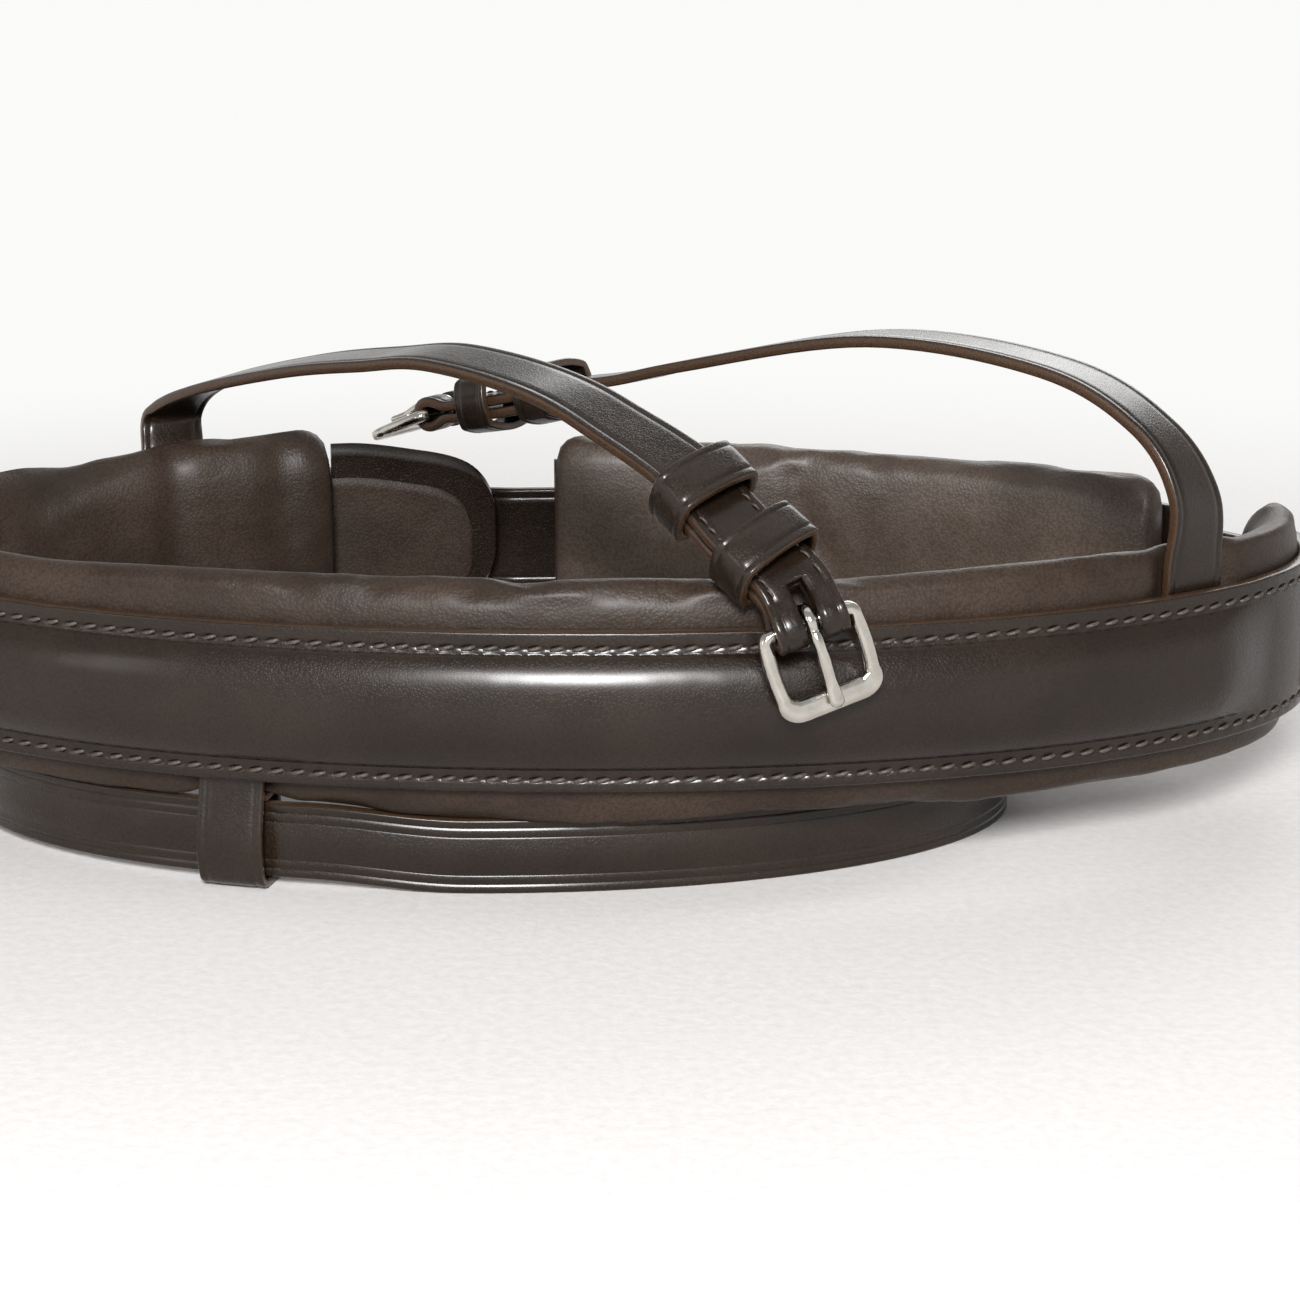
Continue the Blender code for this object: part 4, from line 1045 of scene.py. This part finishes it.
def build_fastened(prefix, place, width, size, layers, keepers):
    """The frame, tongue, keeper and runner of a fastened buckle."""
    bar, pin, reach = size.values()
    centre = layers["centre"]
    frame = build_frame(prefix + "_buckle_nickel",
                        lambda u, w: place(u, centre + FRONT_RISE * max(u, 0.0) / reach, w), reach,
                        width / 2 + 0.6 + bar, bar, bar * 1.1)
    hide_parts(prefix + "_buckle_frame")
    origin = place(0.0, centre, 0.0)
    along = (place(reach, layers["front"], 0.0) - origin).normalized()
    across = (place(0.0, centre, 1.0) - origin).normalized()
    if along.cross(across).dot(place(0.0, centre + 1.0, 0.0) - origin) < 0:
        across = -across
    length = math.hypot(reach, FRONT_RISE) + 1.0
    tongue = build_tongue(prefix + "_tongue_nickel", origin, along, across, length, bar, pin,
                          prefix + "_tongue")
    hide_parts(prefix + "_buckle_tongue")
    for name, middle, low, high, body in keepers:
        keeper = sweep_keeper(prefix + "_" + name + "_leather", place, middle, low, high,
                              width / 2 + KEEPER_SIDE_ROOM, SMALL_KEEPER, body)
        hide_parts(prefix + "_" + name)


def eye_turn(eye, centre):
    """Points of a strap's fold round a bar, from below it to above it."""
    return [(eye * math.sin(math.radians(a)), centre - eye * math.cos(math.radians(a)))
            for a in (-20, 20, 60, 90, 120, 160, 200)]


def build_chin(ring, left, right):
    """The strap and its buckle behind the chin."""
    bar_at = left - CHIN_REACH
    layers = fastened(CHIN_THICK, CHIN_BUCKLE, FACE_THICK)
    under, high_layer, centre = layers["under"], layers["high"], layers["centre"]

    def place(u, n, w):
        return ring.place(bar_at - u, n, w + CHIN_Z - RING_Z)

    laid = [-5.0 - CHAPE_REACH * k / 6 for k in range(7)]
    line = [(u, layers["low"]) for u in reversed(laid)] + eye_turn(layers["eye"], centre)
    line += [(u, high_layer) for u in laid]
    section = strap_section(CHIN_WIDTH, layers["chape_thick"], 2.2, 0.2, 0.5)
    chape = sweep_strap("chin_chape_leather", place, line, section)
    carve(chape, place, (-7.0, 7.0), (centre - 6.0, centre + 6.0), SLIT_HALF)
    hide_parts("chin_chape")

    reach = CHIN_BUCKLE["length"]
    around = bar_at + ring.total
    flat = FACE_THICK + GAP + CHIN_THICK / 2
    bent = layers["over"]
    over = high_layer + layers["chape_thick"] / 2 + GAP + CHIN_THICK / 2
    line = [(around - s, flat) for s in spread(right - CHIN_UNDER, around - reach - 20.0, 8.0)]
    line += [(reach + 14.0, flat), (reach + 4.0, under), (reach, under), (reach - 3.0, under + 0.3),
             (reach * 0.5, (bent + under) / 2), (4.0, bent - 0.4), (0.0, bent), (-5.0, bent)]
    line += [(-u, over) for u in (10.0, 20.0, 32.0, 46.0, 58.0)]
    section = strap_section(CHIN_WIDTH, CHIN_THICK, 2.2, 0.24, 0.7)
    strap = sweep_strap("chin_strap_leather", place, line, section, tip=15.0)
    carve(strap, place, (0.3, reach - 3.4), (centre - 1.0, centre + 14.0), HOLE_HALF)
    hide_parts("chin_strap")
    low = FACE_THICK + GAP + 1.5
    high = over + CHIN_THICK / 2 + GAP
    keepers = [("fixed_keeper", CHIN_KEEPERS_AT[0], low, high, "noseband"),
               ("runner", CHIN_KEEPERS_AT[1], low - 0.12, high + 0.1, "chin_runner")]
    build_fastened("chin", place, CHIN_WIDTH, CHIN_BUCKLE, layers, keepers)


def build_pad(ring):
    """The padded piece inside the chin strap."""
    start = at_angle(ring, PAD_START)
    end = at_angle(ring, PAD_END)

    def place(s, n, w):
        drop = PAD_DROP * (end - s) / (end - start)
        return ring.place(s, n, w + PAD_Z - RING_Z - drop)

    section = strap_section(PAD_HALF * 2, PAD_BACK_THICK, PAD_STITCH_IN, 0.3, 0.6, back_crease=False)
    line = [(s, 0.2 + PAD_BACK_THICK / 2) for s in spread(start, end, 6.0)]
    back = sweep_strap("chin_pad_leather", place, line, section)
    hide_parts("chin_pad_back")
    for name, sign in (("upper", 1.0), ("lower", -1.0)):
        seam = sign * (PAD_HALF - PAD_STITCH_IN)
        stitch_row("chin_pad_stitches_" + name,
                   lambda s, w, n, seam=seam: place(s, PAD_BACK_THICK + 0.05 + n, seam + w),
                   start + 3.0, end - 3.0)
    pad = padded_roll("chin_pad_padding", place, spread(start + 0.4, end - 0.4, ROLL_STEP),
                      lambda s: PAD_SIDE + [(-0.1, -6.5), (-0.1, 0.0), (-0.1, 6.5)],
                      lambda n, w: n > -2.0, "pad_lining", 1.0)
    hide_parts("chin_pad_lining", "chin_pad_foam")


def tab_rings(ring, start, length, half, middle_w, face, back):
    """Sections of a tab with a square-round tip; face and back are its heights over the ring's line."""
    rings = []
    middle = (face + back) / 2
    columns = [-1.0 + k / 12.0 for k in range(25)]
    tip = [length - half * (1.0 - math.sin(math.radians(a))) for a in range(5, 90, 5)]
    for s in [0.0, 0.3] + spread(1.0, length - half, 2.0) + tip + [length - 0.02]:
        reach = max(s - (length - half), 0.0)
        width = half * max(1.0 - (reach / half) ** TAB_SQUARE, 0.0001) ** (1.0 / TAB_SQUARE)
        top = []
        under = []
        for w in [width * share for share in columns]:
            edge = clamp(min(width - abs(w), length - s) / 1.1)
            round_off = math.sqrt(max(1.0 - (1.0 - edge) ** 2, 0.0))
            for points, side in ((top, face), (under, back)):
                points.append(ring.place(start - s, middle + (side - middle) * round_off, w + middle_w))
        rings.append(top + under[-2:0:-1])
    return rings


def build_underlay(ring, left):
    """The round-tipped tab behind the chin buckle: a leather backing and a smaller panel of lining."""
    start = left - GAP
    backing = tab_rings(ring, start, TAB_LENGTH, TAB_HALF, TAB_MIDDLE, *BACKING_FACES)
    tab = write_mesh("chin_underlay_leather", backing)
    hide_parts("chin_buckle_underlay")
    panel = tab_rings(ring, start, TAB_LENGTH - PANEL_SHORTER, TAB_HALF - PANEL_NARROWER,
                      TAB_MIDDLE - PANEL_LOWER, *PANEL_FACES)
    write_mesh("chin_underlay_lining", panel, look="lining")


def flash_lift(level, loop_at, buckle_at):
    """How far the flash strap stands up from the floor along its length: over its loop and at its buckle."""
    def lift(s):
        def at(centre, flat, fade):
            return hump((s - centre + level.total / 2) % level.total - level.total / 2, flat, fade)

        over_loop = (LOOP_THICK + 0.4) * at(loop_at + LOOP_RISE_SHIFT, LOOP_RISE_FLAT, LOOP_RISE_FADE)
        return max(over_loop, BUCKLE_LIFT * at(buckle_at - 12.0, 34.0, 30.0))

    return lift


def build_flash(ring):
    """The flash strap, fastened on itself."""
    spot = ring.place(at_angle(ring, LOOP_ANGLE), -4.0, 0.0)
    level = oval(FLASH_CENTRE, FLASH_HALF, FLASH_WIDTH / 2)
    bar_at = at_angle(level, FLASH_BUCKLE_ANGLE)
    nearest = min(range(len(level.points)), key=lambda i: (level.points[i].xy - spot.xy).length)
    flash = oval(FLASH_CENTRE, FLASH_HALF, FLASH_WIDTH / 2,
                 lift=flash_lift(level, level.lengths[nearest], bar_at))

    def place(u, n, w):
        return flash.place(bar_at + u, n, w)

    layers = fastened(FLASH_THICK, FLASH_BUCKLE, FLASH_BASE)
    centre = layers["centre"]
    bar, _, reach = FLASH_BUCKLE.values()
    eye = bar + GAP + FLASH_THICK / 2
    main_layer = centre + 0.5 * FLASH_THICK + 0.15
    tail = centre - 0.5 * FLASH_THICK - 0.15
    over = centre + eye + FLASH_THICK + GAP
    under = layers["under"]
    laid = [-5.0 - 7.0 * k for k in range(7)]
    line = [(u, tail) for u in reversed(laid[:-1])] + eye_turn(eye, centre) + [(u, main_layer) for u in laid]
    line += [(s - bar_at, 0.0) for s in spread(bar_at - 58.0, bar_at - flash.total + reach + 22.0, 6.0)]
    shut = [(reach + 12.0, under * 0.5), (reach + 4.0, under), (reach, under), (reach - 2.5, under + 0.1),
            (reach * 0.5, (over + under) / 2), (4.0, over - 0.3), (0.0, over), (laid[0], over)]
    shut += [(u, main_layer + FLASH_THICK + GAP) for u in laid[1:]]
    line += [(u - flash.total, n) for u, n in shut]
    section = strap_section(FLASH_WIDTH, FLASH_THICK, 1.9, 0.27, 0.5, double=True)
    strap = sweep_strap("flash_strap_leather", place, line, section, tip=10.0)
    carve(strap, place, (-7.0, 4.2), (centre - 4.4, centre + eye + FLASH_THICK / 2 + 0.1), SLIT_HALF)
    carve(strap, place, (2.6, reach - 3.4), (centre - 1.0, centre + 14.0), HOLE_HALF)
    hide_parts("flash_strap")
    inside = tail - FLASH_THICK / 2 - GAP
    outside = main_layer + 1.5 * FLASH_THICK + 2 * GAP
    keepers = [("fixed_keeper", FLASH_KEEPERS_AT[0], inside, outside, "noseband"),
               ("runner", FLASH_KEEPERS_AT[1], inside - 0.2, outside + 0.1, "flash_runner")]
    build_fastened("flash", place, FLASH_WIDTH, FLASH_BUCKLE, layers, keepers)


def build_loop(ring):
    """The loop sewn under the face, which swells off the flash strap that it holds."""
    loop_at = at_angle(ring, LOOP_ANGLE)
    floor, roof = loop_heights(ring, loop_at)
    near, far = LOOP_FRONT, LOOP_BACK
    line = [(near + out, w) for out, w in LOOP_SWELL]
    line += [(near + 2.6, floor + 3.2), (near + 1.9, floor + 1.4), (near + 0.4, floor + 0.45),
             (near - 1.4, floor + 0.15), (far + 2.1, floor), (far + 1.2, floor),
             (far + 0.35, floor + 0.35), (far, floor + 1.2), (far, roof - 1.2), (far + 0.35, roof - 0.35),
             (far + 1.2, roof), (near - LOOP_THICK / 2 - GAP, roof)]
    section = strap_section(LOOP_LENGTH, LOOP_THICK, 1.8, 0.2, 0.45)
    loop = sweep_strap("flash_loop_leather", lambda n, w, s: ring.place(loop_at + s, n, w), line, section,
                       step=0.8)
    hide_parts("flash_loop")


def build_stage():
    bpy.ops.mesh.primitive_plane_add(size=FLOOR_SIZE, location=(0.0, 0.0, 0.0))
    floor = bpy.context.object
    floor.name = "floor"
    floor.data.materials.append(LOOKS["floor"])

    world = bpy.data.worlds.new("studio")
    bpy.context.scene.world = world
    world.use_nodes = True
    tree = world.node_tree
    back = tree.nodes["Background"]
    strength = tree.nodes.new("ShaderNodeMapRange")
    strength.inputs["To Min"].default_value = WORLD_LIGHT
    direction = tree.nodes.new("ShaderNodeTexCoord")
    parts = tree.nodes.new("ShaderNodeSeparateXYZ")
    tree.links.new(direction.outputs["Generated"], parts.inputs[0])
    ceiling = tree.nodes.new("ShaderNodeMapRange")
    ceiling.interpolation_type = "SMOOTHSTEP"
    ceiling.inputs["From Min"].default_value, ceiling.inputs["From Max"].default_value = CEILING_FADE
    ceiling.inputs["To Min"].default_value = 1.0
    ceiling.inputs["To Max"].default_value = CEILING
    tree.links.new(parts.outputs["Z"], ceiling.inputs["Value"])
    tree.links.new(ceiling.outputs["Result"], strength.inputs["To Max"])
    tree.links.new(seen_ray(tree), strength.inputs["Value"])
    back.inputs["Color"].default_value = (*BACKDROP, 1.0)
    tree.links.new(strength.outputs["Result"], back.inputs["Strength"])

    for name, place, aim, size, power in LAMPS:
        lamp = bpy.data.lights.new(name, "AREA")
        lamp.shape = "RECTANGLE"
        lamp.size, lamp.size_y = size
        lamp.energy = power
        thing = bpy.data.objects.new(name, lamp)
        thing.location = place
        thing.rotation_euler = (Vector(aim) - Vector(place)).to_track_quat("-Z", "Y").to_euler()
        bpy.context.scene.collection.objects.link(thing)

    camera = bpy.data.cameras.new("photo_camera")
    camera.lens = CAMERA_LENS
    camera.sensor_width = 36.0
    thing = bpy.data.objects.new("photo_camera", camera)
    thing.location = (Vector(CAMERA_PLACE) - MIDDLE) * MM
    thing.rotation_euler = (math.radians(CAMERA_TILT), 0.0, 0.0)
    bpy.context.scene.collection.objects.link(thing)
    bpy.context.scene.camera = thing
    bpy.context.scene.view_settings.view_transform = "Standard"


# Lamps: name, place and aim in metres, size, power in watts
LAMPS = [("front", (-0.03, -1.05, 0.60), (0.0, -0.08, 0.045), (0.27, 0.27), 18.8),
         ("overhead", (0.0, 0.0, 0.95), (0.0, 0.0, 0.05), (0.9, 0.5), 0.8),
         ("back", (0.35, 1.00, 0.70), (0.0, 0.05, 0.05), (0.8, 0.6), 6.0),
         ("left_side", (-0.70, -0.60, 0.30), (-0.09, -0.05, 0.05), (0.16, 0.3), 0.4)]
WORLD_LIGHT = 0.22
FLOOR_SIZE = 8.0
# The studio's ceiling is darker than its backdrop, in what polished surfaces mirror: its strength, and the
# heights between which it sets in, as the sine of the angle above the horizon
CEILING = 0.45
CEILING_FADE = (0.10, 0.50)

LEFT_POINTS = [(-115.6, 55.9, 79.0), (-105.4, 45.2, 87.0), (-80.0, 21.0, 95.7), (-60.0, 2.0, 100.3),
               (-42.5, -13.5, 102.9), (-17.5, -37.0, 99.2), (4.0, -56.0, 88.0), (18.3, -68.5, 75.5),
               (27.6, -76.0, 67.8), (31.0, -79.6, 61.0)]
LEFT_SIDES = [(0.7, 0.71, 0.12), (0.7, 0.71, 0.14), (0.77, 0.62, 0.14), (0.89, 0.4, 0.2), (0.96, 0.2, 0.2)]
LEFT_ALONG = (3.0, -1.2, -15.5)
RIGHT_POINTS = [(113.6, -40.0, 78.0), (105.5, -33.0, 91.5), (87.0, -18.5, 101.6), (52.0, 7.5, 104.2),
                (12.0, 37.0, 94.0), (-14.0, 57.0, 85.0), (-33.0, 71.0, 78.8), (-52.0, 84.0, 74.5)]
RIGHT_SIDES = [(-0.61, -0.79, 0.0), (-0.61, -0.79, 0.0), (-0.64, -0.77, 0.0), (-0.5, -0.86, 0.0)]
RIGHT_ALONG = (-0.85, 0.4, -0.4)


def main():
    build_stage()
    level = oval(RING_CENTRE, RING_HALF, RING_Z)
    end_at = at_angle(level, END_RISE_AT)
    turn = level.total / 360.0

    def rise(s):
        away = (s - end_at + level.total / 2) % level.total - level.total / 2
        end_rise = END_RISE * hump(away, END_RISE_FLAT * turn, END_RISE_FADE * turn)
        return BACK_RISE * (0.5 + level.read(s)[0].y / (2 * RING_HALF[1])) + end_rise

    ring = oval(RING_CENTRE, RING_HALF, RING_Z, lift=rise)
    left = at_angle(ring, LEFT_END)
    right = at_angle(ring, RIGHT_END)
    build_face(ring, left, right)
    build_roll(ring, left, right)
    build_hanger("left", ring, LEFT_SLOT, LEFT_POINTS, LEFT_SIDES, LEFT_ALONG)
    build_hanger("right", ring, RIGHT_SLOT, RIGHT_POINTS, RIGHT_SIDES, RIGHT_ALONG)
    build_chin(ring, left, right)
    build_pad(ring)
    build_underlay(ring, left)
    build_flash(ring)
    build_loop(ring)


main()
